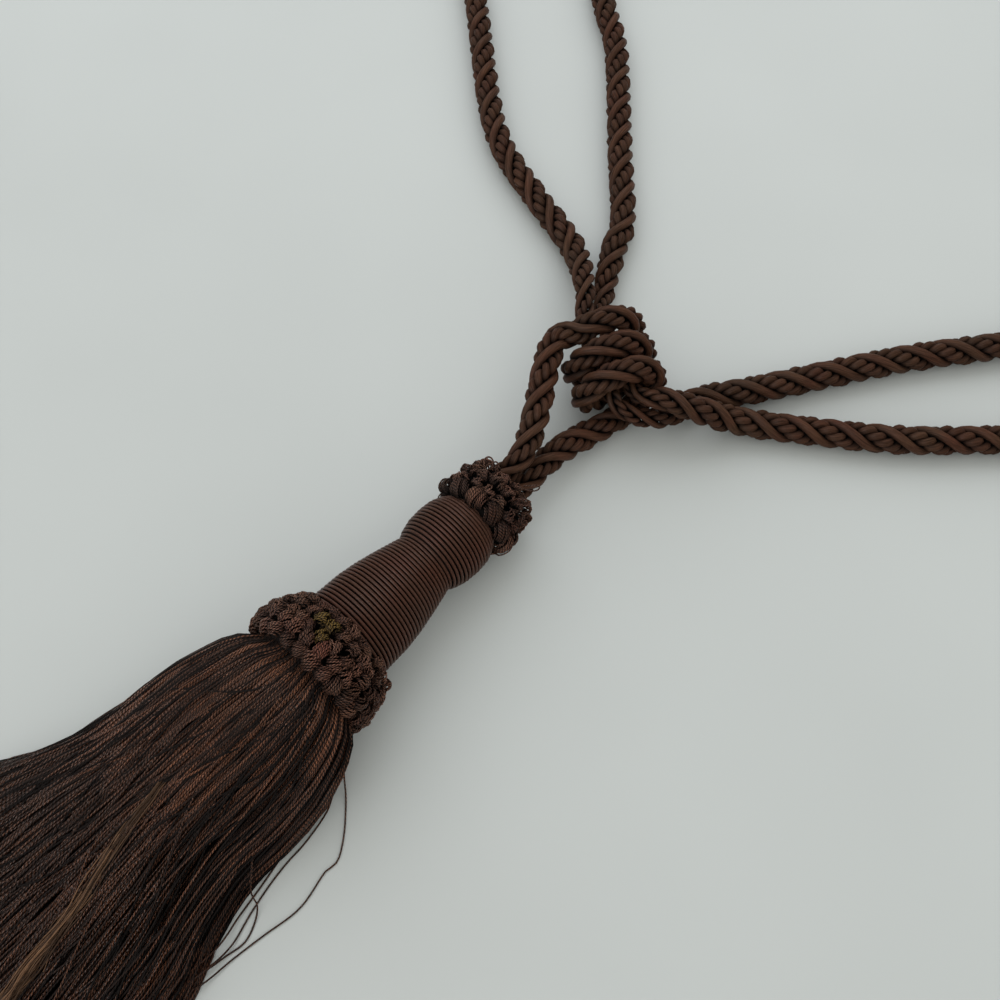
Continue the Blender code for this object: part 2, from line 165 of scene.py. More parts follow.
# Open loops that stand out of the upper ruff: x, y, z.
OPEN_LOOP_ROUTES = (
    ((-0.0043, 0.0708, 0.0249), (-0.0058, 0.0715, 0.0258), (-0.0065, 0.0730, 0.0263),
     (-0.0060, 0.0740, 0.0265), (-0.0047, 0.0741, 0.0263), (-0.0038, 0.0733, 0.0258),
     (-0.0035, 0.0717, 0.0249)),
    ((-0.0028, 0.0720, 0.0248), (-0.0036, 0.0726, 0.0257), (-0.0038, 0.0734, 0.0262),
     (-0.0034, 0.0742, 0.0264), (-0.0023, 0.0741, 0.0262), (-0.0018, 0.0733, 0.0257),
     (-0.0020, 0.0724, 0.0248)),
    ((0.0068, 0.0745, 0.0215), (0.0085, 0.0750, 0.0223), (0.0100, 0.0757, 0.0228),
     (0.0109, 0.0768, 0.0231), (0.0107, 0.0778, 0.0231), (0.0096, 0.0779, 0.0228),
     (0.0083, 0.0768, 0.0223), (0.0065, 0.0756, 0.0215)),
    ((0.0070, 0.0698, 0.0219), (0.0084, 0.0708, 0.0227), (0.0100, 0.0717, 0.0232),
     (0.0113, 0.0722, 0.0235), (0.0122, 0.0720, 0.0235), (0.0122, 0.0712, 0.0232),
     (0.0106, 0.0701, 0.0227), (0.0084, 0.0691, 0.0219)),
    ((0.0111, 0.0675, 0.0155), (0.0122, 0.0685, 0.0164), (0.0132, 0.0690, 0.0169),
     (0.0141, 0.0687, 0.0171), (0.0142, 0.0677, 0.0169), (0.0132, 0.0669, 0.0164),
     (0.0120, 0.0665, 0.0155)),
)
OPEN_LOOP_STEP = 0.0006
OPEN_LOOP_POINTS = 40

# ---- skirt: y, middle x, half width, lowest z, height, how far the bundle has slumped ----

SKIRT_SECTIONS = (
    (-0.0082, 0.0010, 0.0162, 0.0063, 0.0302, 0),
    (-0.0120, 0.0011, 0.0217, 0.0034, 0.0366, 0),
    (-0.0200, -0.0005, 0.0265, 0.0008, 0.0370, 0.15),
    (-0.0380, -0.0049, 0.0313, 0.0001, 0.0285, 0.7),
    (-0.0520, -0.0069, 0.0309, 0.0001, 0.0230, 0.95),
    (-0.0660, -0.0085, 0.0347, 0.0001, 0.0195, 1),
    (-0.0830, -0.0092, 0.0422, 0.0001, 0.0165, 1),
    (-0.1250, -0.0110, 0.0520, 0.0001, 0.0125, 1),
    (-0.1750, -0.0120, 0.0600, 0.0001, 0.0105, 1),
)
SECTION_EASE = 0.4
SKIRT_PARTS = 3
SKIRT_SEED = 23
SKIRT_WAVE = 0.009           # how wide a yarn's tip may sway; its root stays
SKIRT_POINTS = 32            # along each yarn
STRAY_POINTS = 60
SKIRT_TIP = -0.163
TIP_ROUNDING = 0.015
TIP_UNEVENNESS = 0.009
STATIONS = (0.0, 0.02, 0.045, 0.08, 0.13, 0.19, 0.27, 0.36, 0.46, 0.56, 0.67, 0.78, 0.89, 1.0)
YARN_ROOT = -0.0045
LOCKS = 220
ROOT_PULL = 0.16             # how far the yarns of a lock draw together near the root
ROOT_PULL_RISE = 12.0        # how fast that pull sets in from the root
TIP_PULL = 0.34
OUTER_LOCKS = 0.6            # share of the locks that start near the bundle's surface
OUTER_YARNS = (3, 5)         # yarns that do so, and out of how many
OUTER_FROM = 0.80            # share of the section's area that lies inside them
# For a yarn that keeps its place and for one that crosses others: sideways drift and sway.
DRIFTS = (0.05, 0.24)
SWAYS = (0.024, 0.10)
SWAY_RISE = 4.0              # how fast the sway sets in from the root
SWAY_BEATS = (0.7, 1.8)
CROSSING_SHARE = 0.22        # yarns that wander across their neighbours
REACHES = (1.0, 1.012)       # how far out a yarn that keeps its place and one that crosses lie
SURFACE_SHARE = 0.985        # yarns nearer the bundle's middle than this are painted in shade
SHADE_DEPTH = 0.105
# Painted shade on each yarn near its root, under the ruff, and the share of the length where it
# ends.
ROOT_SHADE = 0.8
ROOT_SHADE_END = 0.035
HOLLOW = (0.0190, -0.0570, 0.0062, 0.0170)    # x, y, half width and half length of a hollow, whose yarns sink and are painted in shade
HOLLOW_SINK = 0.6
YARN_CLEARANCE = 1.1         # lowest place of a yarn's middle over the surface, in radii
WAVED_CLEARANCE = 1.05       # and once it has its waves
YARN_START_SPREAD = 0.011    # so that the twists of neighbours don't line up

# Yarns that have strayed from the skirt and lie on the surface: x, y, z.
STRAY_ROUTES = (
    ((0.0190, -0.0100, 0.0240), (0.0212, -0.0140, 0.0170), (0.0230, -0.0185, 0.0040),
     (0.0278, -0.0231, 0.0005), (0.0341, -0.0300, 0.0004), (0.0378, -0.0362, 0.0004),
     (0.0372, -0.0402, 0.0004), (0.0388, -0.0510, 0.0004), (0.0365, -0.0626, 0.0004),
     (0.0348, -0.0716, 0.0005), (0.0335, -0.0810, 0.0020), (0.0300, -0.0900, 0.0060)),
    ((0.0225, -0.0150, 0.0180), (0.0249, -0.0246, 0.0040), (0.0266, -0.0298, 0.0015),
     (0.0277, -0.0387, 0.0005), (0.0278, -0.0452, 0.0005), (0.0285, -0.0525, 0.0005),
     (0.0301, -0.0611, 0.0005), (0.0322, -0.0692, 0.0010), (0.0321, -0.0767, 0.0030),
     (0.0300, -0.0880, 0.0060)),
    ((0.0210, -0.0480, 0.0130), (0.0266, -0.0563, 0.0050), (0.0300, -0.0580, 0.0020),
     (0.0324, -0.0614, 0.0005), (0.0341, -0.0665, 0.0004), (0.0329, -0.0724, 0.0006),
     (0.0316, -0.0784, 0.0020), (0.0280, -0.0880, 0.0060)),
    ((0.0230, -0.0180, 0.0130), (0.0257, -0.0259, 0.0050), (0.0261, -0.0316, 0.0030),
     (0.0252, -0.0381, 0.0010), (0.0255, -0.0448, 0.0006), (0.0270, -0.0539, 0.0006),
     (0.0283, -0.0629, 0.0010), (0.0302, -0.0726, 0.0030), (0.0290, -0.0850, 0.0070)),
    ((-0.0260, -0.0250, 0.0080), (-0.0345, -0.0340, 0.0030), (-0.0390, -0.0440, 0.0012),
     (-0.0419, -0.0555, 0.0008), (-0.0438, -0.0673, 0.0010), (-0.0471, -0.0762, 0.0005),
     (-0.0526, -0.0819, 0.0004), (-0.0597, -0.0871, 0.0004), (-0.0660, -0.1000, 0.0005)),
)
STRAY_STEP = 0.002
# painted shade on the stray yarns
STRAY_DEPTH = 0.3

# A lock of paler, barely twisted yarn that lies on the skirt: x, y, z.
PALE_LOCK_ROUTE = (
    (-0.0070, -0.0460, 0.0190), (-0.0062, -0.0520, 0.0232), (-0.0055, -0.0565, 0.0228),
    (-0.0050, -0.0670, 0.0198), (-0.0015, -0.0837, 0.0170), (0.0006, -0.0982, 0.0157),
    (0.0024, -0.1099, 0.0145), (0.0052, -0.1300, 0.0129), (0.0072, -0.1480, 0.0120))
PALE_LOCK_SEED = 41
PALE_LOCK_WAVE = 0.012
PALE_LOCK_POINTS = 60
PALE_LOCK_STEP = 0.004
PALE_LOCK_HALF_WIDTH = 0.0017
PALE_LOCK_FLARE = (0.5, 0.7)    # its width at its start, and how much wider it grows
PALE_LOCK_STARTS = (0.0, 0.5)
PALE_LOCK_ENDS = (0.45, 1.0)
PALE_LOCK_LIFT = (-0.0018, 0.0006)
PALE_LOCK_SPREAD = 0.5       # of its yarns across it, in its half widths
PALE_LOCK_DRIFT = 0.7        # and along its length
FEWEST_POINTS = 4            # of a yarn that is kept

# ---- floor and lights ----

FLOOR_SPECULAR = 0.1
FLOOR_ROUGHNESS = 0.55
FLOOR_DRIFT_BREADTH = 0.12
FLOOR_DEEPER = 0.965
# Lights: name, place, aim, width, power in key lights, colour, whether it lights matt surfaces.
LIGHTS = (
    ("key_light", (-0.80, 0.70, 0.85), (0.0, 0.06, 0.0), 1.6, 1.0, (0.87, 0.92, 1.0), True),
    ("side_light", (0.2, 1.3, 1.0), (0.0, 0.06, 0.0), 0.9, 0.2, (0.98, 1.0, 0.99), True),
    ("sheen_light", (-0.25, -1.10, 1.10), (0.0, -0.06, 0.0), 0.8, 4.8, (1.0, 0.84, 0.78), False),
)
FILL_COLOUR = (0.98, 1.0, 0.96, 1.0)
FILL_GLOSS_LOSS = 0.88       # share of the even light that is left out of reflections


# ---- node helpers ----

def fill(tree, socket, value):
    """Link a socket to another one, or set its value."""
    if isinstance(value, bpy.types.NodeSocket):
        tree.links.new(value, socket)
    else:
        socket.default_value = value


def in_use(sockets, label=None):
    """The first socket that is in use, with a label if one is given."""
    return next(s for s in sockets if s.enabled and label in (None, s.name))


def put(tree, kind, inputs=(), **settings):
    """Add a node with its settings, and set or link its inputs by name or by number."""
    node = tree.nodes.new(kind)
    for key, value in settings.items():
        setattr(node, key, value)
    for key, value in dict(inputs).items():
        fill(tree, node.inputs[key], value)
    return node


def result(tree, kind, inputs=(), **settings):
    """The first output in use of a node that is put in."""
    return in_use(put(tree, kind, inputs, **settings).outputs)


def calc(tree, operation, *values):
    """The output of a Math node."""
    return result(tree, "ShaderNodeMath", dict(enumerate(values)), operation=operation)


def combine(tree, operation, *vectors):
    """The output of a Vector Math node."""
    return result(tree, "ShaderNodeVectorMath", dict(enumerate(vectors)), operation=operation)


def scaled(tree, vector, factor):
    """A vector times a number."""
    return result(tree, "ShaderNodeVectorMath", {0: vector, "Scale": factor}, operation="SCALE")


def rotated(tree, vector, angle, axis):
    """A vector turned round X_AXIS, Y_AXIS or Z_AXIS."""
    return result(tree, "ShaderNodeVectorRotate", {"Vector": vector, "Angle": angle},
                  rotation_type=axis)


def xyz(tree, x=0.0, y=0.0, z=0.0):
    """Three numbers as a vector."""
    return result(tree, "ShaderNodeCombineXYZ", {0: x, 1: y, 2: z})


def split(tree, vector):
    """A vector's x, y and z."""
    return put(tree, "ShaderNodeSeparateXYZ", {0: vector}).outputs[:3]


def ranged(tree, value, low=0.0, high=1.0, start=0.0, end=1.0):
    """A value from start to end mapped onto low to high."""
    return result(tree, "ShaderNodeMapRange", {
        "Value": value, "From Min": start, "From Max": end, "To Min": low, "To Max": high})


def position(tree):
    """Where each element is."""
    return result(tree, "GeometryNodeInputPosition")


def stored(tree, name, kind="FLOAT"):
    """A named attribute's value."""
    return result(tree, "GeometryNodeInputNamedAttribute", {"Name": name}, data_type=kind)


def mark(tree, geometry, name, value, kind="FLOAT", domain="POINT"):
    """Store a named attribute."""
    node = put(tree, "GeometryNodeStoreNamedAttribute", {"Geometry": geometry, "Name": name},
               data_type=kind, domain=domain)
    fill(tree, in_use(node.inputs, "Value"), value)
    return node.outputs[0]


def moved(tree, geometry, **how):
    """A geometry whose points are put at a Position or shifted by an Offset."""
    return result(tree, "GeometryNodeSetPosition", {"Geometry": geometry, **how})


def raised(tree, geometry, lowest):
    """A geometry whose points lie no lower than a height."""
    x, y, z = split(tree, position(tree))
    return moved(tree, geometry, Position=xyz(tree, x, y, calc(tree, "MAXIMUM", z, lowest)))


def shaken(tree, curves, place, scale, detail, reach):
    """Curves whose points a noise over a place moves."""
    noise = put(tree, "ShaderNodeTexNoise", {"Vector": place, "Scale": scale, "Detail": detail})
    swing = combine(tree, "SUBTRACT", noise.outputs["Color"], (0.5, 0.5, 0.5))
    return moved(tree, curves, Offset=scaled(tree, swing, reach))


def resampled(tree, curve, mode, amount):
    """A curve with even points: a number of them (COUNT), or a distance apart (LENGTH)."""
    return result(tree, "GeometryNodeResampleCurve", {"Curve": curve, mode.title(): amount},
                  mode=mode)


def join(tree, *parts):
    """Several geometries as one."""
    node = put(tree, "GeometryNodeJoinGeometry")
    for part in parts:
        tree.links.new(part, node.inputs[0])
    return node.outputs[0]


def chance(tree, low, high, seed):
    """A random number for each element, the same on every run."""
    node = put(tree, "FunctionNodeRandomValue", {"Seed": seed}, data_type="FLOAT")
    fill(tree, in_use(node.inputs, "Min"), low)
    fill(tree, in_use(node.inputs, "Max"), high)
    return in_use(node.outputs)


def new_tree(name, floats=(), whole=()):
    """A geometry tree with named inputs, and the sockets of those inputs by name."""
    tree = bpy.data.node_groups.new(name, "GeometryNodeTree")
    face = tree.interface
    for way in ("OUTPUT", "INPUT"):
        face.new_socket("Geometry", in_out=way, socket_type="NodeSocketGeometry")
    for labels, kind in ((floats, "Float"), (whole, "Int"), (("Material",), "Material")):
        for label in labels:
            face.new_socket(label, in_out="INPUT", socket_type="NodeSocket" + kind)
    given = tree.nodes.new("NodeGroupInput")
    return tree, {socket.name: socket for socket in given.outputs if socket.name}


def end_tree(tree, geometry, material):
    """Close a geometry tree with Realize Instances and Set Material."""
    smooth = result(tree, "GeometryNodeSetShadeSmooth", {"Geometry": geometry})
    real = result(tree, "GeometryNodeRealizeInstances", {"Geometry": smooth})
    dressed = result(tree, "GeometryNodeSetMaterial", {"Geometry": real, "Material": material})
    put(tree, "NodeGroupOutput", {0: dressed})


def yarn_mesh(tree, curve, radius, sides, start=0.0):
    """Sweep a round yarn along curves, and mark where round and along it each point lies."""
    parameter = put(tree, "GeometryNodeSplineParameter")
    curve = mark(tree, curve, "along", calc(tree, "ADD", parameter.outputs["Length"], start))
    ring = result(tree, "GeometryNodeCurvePrimitiveCircle", {"Resolution": sides, "Radius": 1.0})
    angle = calc(tree, "MULTIPLY", parameter.outputs["Factor"], TURN)
    place = xyz(tree, calc(tree, "COSINE", angle), calc(tree, "SINE", angle))
    ring = mark(tree, ring, "around", place, "FLOAT_VECTOR")
    return result(tree, "GeometryNodeCurveToMesh", {
        "Curve": curve, "Profile Curve": ring, "Scale": radius, "Fill Caps": True})


def on_helix(tree, curve, offset, pitch, phase, hand):
    """Move curves onto a helix round their own lines; hand is 1 for a right-handed one."""
    length = put(tree, "GeometryNodeSplineParameter").outputs["Length"]
    normal = result(tree, "GeometryNodeInputNormal")
    tangent = result(tree, "GeometryNodeInputTangent")
    side = combine(tree, "CROSS_PRODUCT", tangent, normal)
    angle = calc(tree, "MULTIPLY_ADD", calc(tree, "DIVIDE", length, pitch), hand * TURN, phase)
    outward = combine(tree, "ADD", scaled(tree, normal, calc(tree, "COSINE", angle)),
                      scaled(tree, side, calc(tree, "SINE", angle)))
    squeeze = result(tree, "GeometryNodeInputRadius")
    reach = calc(tree, "MULTIPLY", offset, squeeze)
    return moved(tree, curve, Offset=scaled(tree, outward, reach))


# ---- objects ----

def new_object(name, data):
    """A new object in the scene."""
    made = bpy.data.objects.new(name, data)
    bpy.context.scene.collection.objects.link(made)
    return made


def curve_object(name, lines):
    """A curve object with one open line for each list of x, y, z, radius."""
    curve = bpy.data.curves.new(name, "CURVE")
    curve.dimensions = "3D"
    for line in lines:
        spline = curve.splines.new("POLY")
        spline.points.add(len(line) - 1)
        spline.points.foreach_set("co", [v for x, y, z, _ in line for v in (x, y, z, 1.0)])
        spline.points.foreach_set("radius", [point[3] for point in line])
    return new_object(name, curve)


def grow(name, node, tree, source, values):
    """Run a geometry tree on a source object; its result, a plain mesh, stands for a solid."""
    modifier = source.modifiers.new(name, "NODES")
    modifier.node_group = tree
    for item in tree.interface.items_tree:
        if item.in_out == "INPUT" and item.name in values:
            modifier[item.identifier] = values[item.name]
    depsgraph = bpy.context.evaluated_depsgraph_get()
    mesh = bpy.data.meshes.new_from_object(source.evaluated_get(depsgraph), depsgraph=depsgraph)
    source.modifiers.remove(modifier)
    bpy.data.objects.remove(source, do_unlink=True)
    if not mesh.polygons:
        raise RuntimeError(f"{name} has no faces")
    mesh.name = name
    piece = new_object(name, mesh)
    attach(piece, BODY)
    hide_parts(node)
    return piece


# ---- shader groups and materials ----

def new_shader_group(name, place, numbers, outputs):
    """A shader group with a vector input, number inputs with their defaults, and outputs."""
    tree = bpy.data.node_groups.new(name, "ShaderNodeTree")
    face = tree.interface
    face.new_socket(place, in_out="INPUT", socket_type="NodeSocketVector")
    for label, default in numbers.items():
        socket = face.new_socket(label, in_out="INPUT", socket_type="NodeSocketFloat")
        socket.default_value = default
    for label in outputs:
        face.new_socket(label, in_out="OUTPUT", socket_type="NodeSocketFloat")
    given = tree.nodes.new("NodeGroupInput")
    return tree, {s.name: s for s in given.outputs if s.name}


FIBRE_RANGE = (0.3, 0.7)     # of the noise, from all dark to all light
DRIFT_RANGE = (0.32, 0.68)
GROOVE_RANGE = (0.96, 0.6)   # of a ply's height, from none to the full depth of the groove


def unit_noise(tree, place, detail, roughness):
    """A noise of unit scale over a place."""
    noise = put(tree, "ShaderNodeTexNoise", {
        "Vector": place, "Scale": 1.0, "Detail": detail, "Roughness": roughness})
    return noise.outputs["Fac"]


def yarn_fibre_group():
    """Fine fibres that run along a yarn: a light and dark share, and a height; the share follows
    the height, painting high fibres lit and low ones in shade.
    """
    name = "yarn_fibres"
    if name in bpy.data.node_groups:
        return bpy.data.node_groups[name]
    tree, given = new_shader_group(name, "Around", {
        "Along": 0.0, "Fineness": 6.0, "Fibre Length": 0.004, "Slant": 0.0}, ("Share", "Height"))
    turn = calc(tree, "MULTIPLY", given["Along"], given["Slant"])
    spread = scaled(tree, rotated(tree, given["Around"], turn, "Z_AXIS"), given["Fineness"])
    lengthwise = calc(tree, "DIVIDE", given["Along"], given["Fibre Length"])
    place = combine(tree, "ADD", spread, xyz(tree, z=lengthwise))
    height = unit_noise(tree, place, 3.0, 0.6)
    put(tree, "NodeGroupOutput", {
        "Share": ranged(tree, height, 0.0, 1.0, *FIBRE_RANGE), "Height": height})
    return tree


def two_ply_group():
    """The two plies of a twisted yarn: a groove mask, for a painted highlight on each ply and
    painted shade in its groove, and a height.
    """
    name = "two_ply_twist"
    if name in bpy.data.node_groups:
        return bpy.data.node_groups[name]
    tree, given = new_shader_group(name, "Around", {"Along": 0.0, "Pitch": 0.0024},
                                   ("Groove", "Height"))
    turn = calc(tree, "DIVIDE", calc(tree, "MULTIPLY", given["Along"], TURN), given["Pitch"])
    across = split(tree, rotated(tree, given["Around"], turn, "Z_AXIS"))[0]
    height = calc(tree, "SQRT", calc(tree, "ABSOLUTE", across))
    put(tree, "NodeGroupOutput", {
        "Groove": ranged(tree, height, 0.0, 1.0, *GROOVE_RANGE), "Height": height})
    return tree


def mottle_group():
    """Slow drifts of colour over a piece, as from handling and light: a share from 0 to 1."""
    name = "dye_mottle"
    if name in bpy.data.node_groups:
        return bpy.data.node_groups[name]
    tree, given = new_shader_group(name, "Place", {"Size": 0.02}, ("Share",))
    place = scaled(tree, given["Place"], calc(tree, "DIVIDE", 1.0, given["Size"]))
    spread = unit_noise(tree, place, 2.0, 0.55)
    put(tree, "NodeGroupOutput", {"Share": ranged(tree, spread, 0.0, 1.0, *DRIFT_RANGE)})
    return tree


def mottle(tree, place, breadth):
    """The share of a slow drift of colour, for a material."""
    return result(tree, "ShaderNodeGroup", {"Place": place, "Size": breadth},
                  node_tree=mottle_group())


def new_material(name, specular):
    """A material with its Principled shader's constant values set on the shader itself."""
    material = bpy.data.materials.new(name)
    material.use_nodes = True
    shader = material.node_tree.nodes["Principled BSDF"]
    shader.inputs["Specular IOR Level"].default_value = specular
    return material, material.node_tree, shader


def attribute(tree, name, output="Fac"):
    """A mesh attribute, for a material."""
    node = put(tree, "ShaderNodeAttribute", attribute_name=name, attribute_type="GEOMETRY")
    return node.outputs[output]


def mixed(tree, share, first, second, blend="MIX"):
    """The colour output of a Mix node."""
    node = put(tree, "ShaderNodeMix", data_type="RGBA", blend_type=blend)
    fill(tree, in_use(node.inputs, "Factor"), share)
    for label, value in (("A", first), ("B", second)):
        if not isinstance(value, bpy.types.NodeSocket):
            value = (*value, 1.0)
        fill(tree, in_use(node.inputs, label), value)
    return in_use(node.outputs)


DRIFT_BREADTH = 0.007        # of the slow drifts between the light and the warm shade
HANDLING_BREADTH = 0.022     # of the slower drifts towards the cool shade
HANDLING_SHIFT = (0.3, 0.1, 0.2)
COOL_SHARE = 0.55            # the most of the cool shade that they bring
WARM_CORE = 0.3              # shares of the warm length: all warm to here
BRIGHT_END = 0.9             # full brightness to here
DIM_START = 2.1              # and the lowest from here on
BRIGHT_ROOT = 1.25
DIM_TIP = 0.62
PLY_CREST = 2.6              # painted highlight on top of a ply, and painted shade in the groove beside it
PLY_GROOVE = 0.05
FIBRE_RELIEF = 0.3           # height of the fibres against the plies
# Painted shade: how dark the colour gets at full depth
DEEPEST_SHADE = 0.05
DEEP_ROUGHENING = 0.6
ROUGHNESS_SPREAD = (0.08, -0.06)    # of the dark and of the light fibres
BUMP_STRENGTH = 0.8


def satin_material(name, look, fineness, fibre_length, slant, relief, ply_pitch=None, tints=(),
                   rough=0.38, specular=0.13, warm_length=None, tint_spread=0.4):
    """Dyed rayon: fibres along the yarn, slow drifts of hue and, if asked, a two-ply twist, with
    painted shade and highlights.
    """
    material, tree, shader = new_material(name, specular)
    around = attribute(tree, "around", "Vector")
    along, tint, depth = (attribute(tree, which) for which in ("along", "tint", "depth"))
    coordinates = put(tree, "ShaderNodeTexCoord").outputs["Object"]
    fibres = put(tree, "ShaderNodeGroup", {
        "Around": around, "Along": along, "Fineness": fineness, "Fibre Length": fibre_length,
        "Slant": slant}, node_tree=yarn_fibre_group())
    warmth = mottle(tree, coordinates, DRIFT_BREADTH)
    handling = mottle(tree, combine(tree, "ADD", coordinates, HANDLING_SHIFT), HANDLING_BREADTH)
    if warm_length:
        near = ranged(tree, along, start=warm_length, end=WARM_CORE * warm_length)
        warmth = calc(tree, "MAXIMUM", warmth, near)
    light = mixed(tree, warmth, look.light, look.warm)
    light = mixed(tree, ranged(tree, handling, 0.0, COOL_SHARE), light, look.cool)
    # Two tones of fibre streak, which also paint the high fibres as lit and the low ones between
    # them in shade.
    colour = mixed(tree, fibres.outputs["Share"], look.dark, light)
    for low, high, tinted in tints:
        inside = calc(tree, "MULTIPLY", calc(tree, "GREATER_THAN", tint, low),
                      calc(tree, "LESS_THAN", tint, high))
        colour = mixed(tree, inside, colour, tinted)
    shade = ranged(tree, tint, 1.0 - tint_spread, 1.0 + tint_spread)
    if warm_length:
        shade = calc(tree, "MULTIPLY", shade, ranged(
            tree, along, BRIGHT_ROOT, DIM_TIP, BRIGHT_END * warm_length, DIM_START * warm_length))
    height = fibres.outputs["Height"]
    if ply_pitch:
        twist = put(tree, "ShaderNodeGroup", {
            "Around": around, "Along": along, "Pitch": ply_pitch}, node_tree=two_ply_group())
        # Painted highlight on each ply's crest and painted shade in the groove beside it.
        groove = ranged(tree, twist.outputs["Groove"], PLY_CREST, PLY_GROOVE)
        shade = calc(tree, "MULTIPLY", shade, groove)
        height = calc(tree, "MULTIPLY_ADD", height, FIBRE_RELIEF, twist.outputs["Height"])
    # Painted shade: the depth attribute darkens deep yarns, rope crevices, loop feet, the ruffs'
    # bands and the head's mould.
    shade = calc(tree, "MULTIPLY", shade, ranged(tree, depth, 1.0, DEEPEST_SHADE))
    grey = result(tree, "ShaderNodeCombineColor", {0: shade, 1: shade, 2: shade})
    fill(tree, shader.inputs["Base Color"], mixed(tree, 1.0, colour, grey, "MULTIPLY"))
    gloss = ranged(tree, fibres.outputs["Share"], *(rough + part for part in ROUGHNESS_SPREAD))
    gloss = calc(tree, "MULTIPLY_ADD", depth, DEEP_ROUGHENING, gloss)
    fill(tree, shader.inputs["Roughness"], gloss)
    bump = result(tree, "ShaderNodeBump", {
        "Height": height, "Strength": BUMP_STRENGTH, "Distance": relief})
    fill(tree, shader.inputs["Normal"], bump)
    return material


# ---- routes ----

def smooth_point(before, start, end, after, share):
    """One point of a Catmull-Rom curve between start and end."""
    square = share * share
    cube = square * share
    return tuple(
        0.5 * (2.0 * b + (c - a) * share + (2.0 * a - 5.0 * b + 4.0 * c - d) * square
               + (3.0 * b - a - 3.0 * c + d) * cube)
        for a, b, c, d in zip(before, start, end, after))


def smooth_route(route):
    """A dense smooth line through the route's places, squeeze included."""
    dense = []
    last = len(route) - 1
    for index in range(last):
        before = route[max(index - 1, 0)]
        after = route[min(index + 2, last)]
        for sample in range(ROUTE_SAMPLES):
            share = sample / ROUTE_SAMPLES
            dense.append(smooth_point(before, route[index], route[index + 1], after, share))
    dense.append(route[-1])
    return dense


def even_steps(dense, step):
    """Points a step apart along a dense line, with its ends kept."""
    lengths = [0.0]
    for first, second in zip(dense, dense[1:]):
        lengths.append(lengths[-1] + math.dist(first[:3], second[:3]))
    count = max(2, round(lengths[-1] / step))
    points = []
    index = 0
    for number in range(count + 1):
        wanted = lengths[-1] * number / count
        while index < len(dense) - 2 and lengths[index + 1] < wanted:
            index += 1
        share = (wanted - lengths[index]) / (lengths[index + 1] - lengths[index])
        first, second = dense[index], dense[index + 1]
        points.append(tuple(a + (b - a) * share for a, b in zip(first, second)))
    return points


def wrap_points():
    """The hanger rope's three wraps round the embrace rope."""
    along = Vector((math.cos(KNOT_HEADING), math.sin(KNOT_HEADING), 0.0))
    across = Vector((math.cos(WRAP_HEADING), math.sin(WRAP_HEADING), 0.0))
    count = round((WRAP_START_ANGLE - WRAP_END_ANGLE) / WRAP_STEP)
    points = []
    for number in range(count + 1):
        angle = WRAP_START_ANGLE + (WRAP_END_ANGLE - WRAP_START_ANGLE) * number / count
        turns_done = (TURN / 4.0 - angle) / TURN
        widening = min(1.0, max(0.0, turns_done))
        half_width = FIRST_WRAP_HALF_WIDTH + (WRAP_HALF_WIDTH - FIRST_WRAP_HALF_WIDTH) * widening
        place = KNOT_CENTRE + along * (turns_done - 1.0) * WRAP_PITCH
        place = place + across * half_width * math.cos(angle)
        height = place.z + WRAP_HALF_HEIGHT * math.sin(angle)
        points.append((place.x, place.y, height, WRAP_SQUEEZE))
    return tuple(points)


def smooth_line(route, step, depth=0.0):
    """Even points along the smooth curve through a route, with the depth column, its painted shade,
    filled in.
    """
    return even_steps(smooth_route(tuple((*place, depth) for place in route)), step)


# ---- sizes and colours ----

def size(name, description, default):
    """A length that a user can set."""
    return FloatProperty(name=name, description=description, default=default, min=0.0,
                         unit="LENGTH", precision=5)


def colour(name, description, default):
    """A colour that a user can set."""
    return FloatVectorProperty(name=name, description=description, default=default, size=3,
                               min=0.0, max=1.0, subtype="COLOR")


class StageSettings(bpy.types.PropertyGroup):
    """The floor and the light."""
    floor_width: size("Floor width", "Width of the square floor", 6.0)
    floor_colour: colour("Floor colour", "Colour of the plain floor", (0.545, 0.56, 0.55))
    key_power: FloatProperty(name="Key light", description="Power of the large soft light",
                             default=8.2, min=0.0, unit="POWER")
    fill_strength: FloatProperty(name="Fill light", description="Strength of the even light",
                                 default=0.83, min=0.0)


class RopeSettings(bpy.types.PropertyGroup):
    """The embrace rope and the hanger rope."""
    diameter: size("Rope diameter", "Over the strands", 0.010)
    lay: size("Lay", "Length of one full turn of the strands", 0.0295)
    thick_offset: size("Thick strand offset", "From the rope's middle to a thick strand's",
                       0.0026)
    ply_radius: size("Ply radius", "Radius of each ply of a thick strand", 0.00130)
    ply_offset: size("Ply offset", "From a thick strand's middle to a ply's", 0.00112)
    ply_pitch: size("Ply pitch", "Length of one full turn of the plies", 0.0070)
    plain_offset: size("Plain strand offset", "From the rope's middle to a plain strand's",
                       0.0033)
    plain_radius: size("Plain strand radius", "Radius of a plain strand", 0.00152)
    # light and dark: two tones of fibre streak, also painted light on high fibres and painted shade
    # on low ones
    light: colour("Light brown", "Fibres that catch the light", (0.104, 0.044, 0.024))
    warm: colour("Warm brown", "Redder fibres", (0.108, 0.039, 0.024))
    cool: colour("Cool brown", "Duller fibres", (0.074, 0.047, 0.029))
    dark: colour("Dark brown", "Fibres between them", (0.022, 0.009, 0.004))


class HeadSettings(bpy.types.PropertyGroup):
    """The wound head."""
    cord_radius: size("Cord radius", "Radius of the gimp cord that is wound on", 0.00045)
    pitch: size("Pitch", "From one turn of the winding to the next", 0.00131)
    # light and dark: two tones of fibre streak, also painted light on high fibres and painted shade
    # on low ones
    light: colour("Light brown", "Fibres that catch the light", (0.100, 0.043, 0.025))
    warm: colour("Warm brown", "Redder fibres", (0.116, 0.040, 0.024))
    cool: colour("Cool brown", "Duller fibres", (0.080, 0.050, 0.036))
    dark: colour("Dark brown", "Fibres between them", (0.034, 0.014, 0.009))


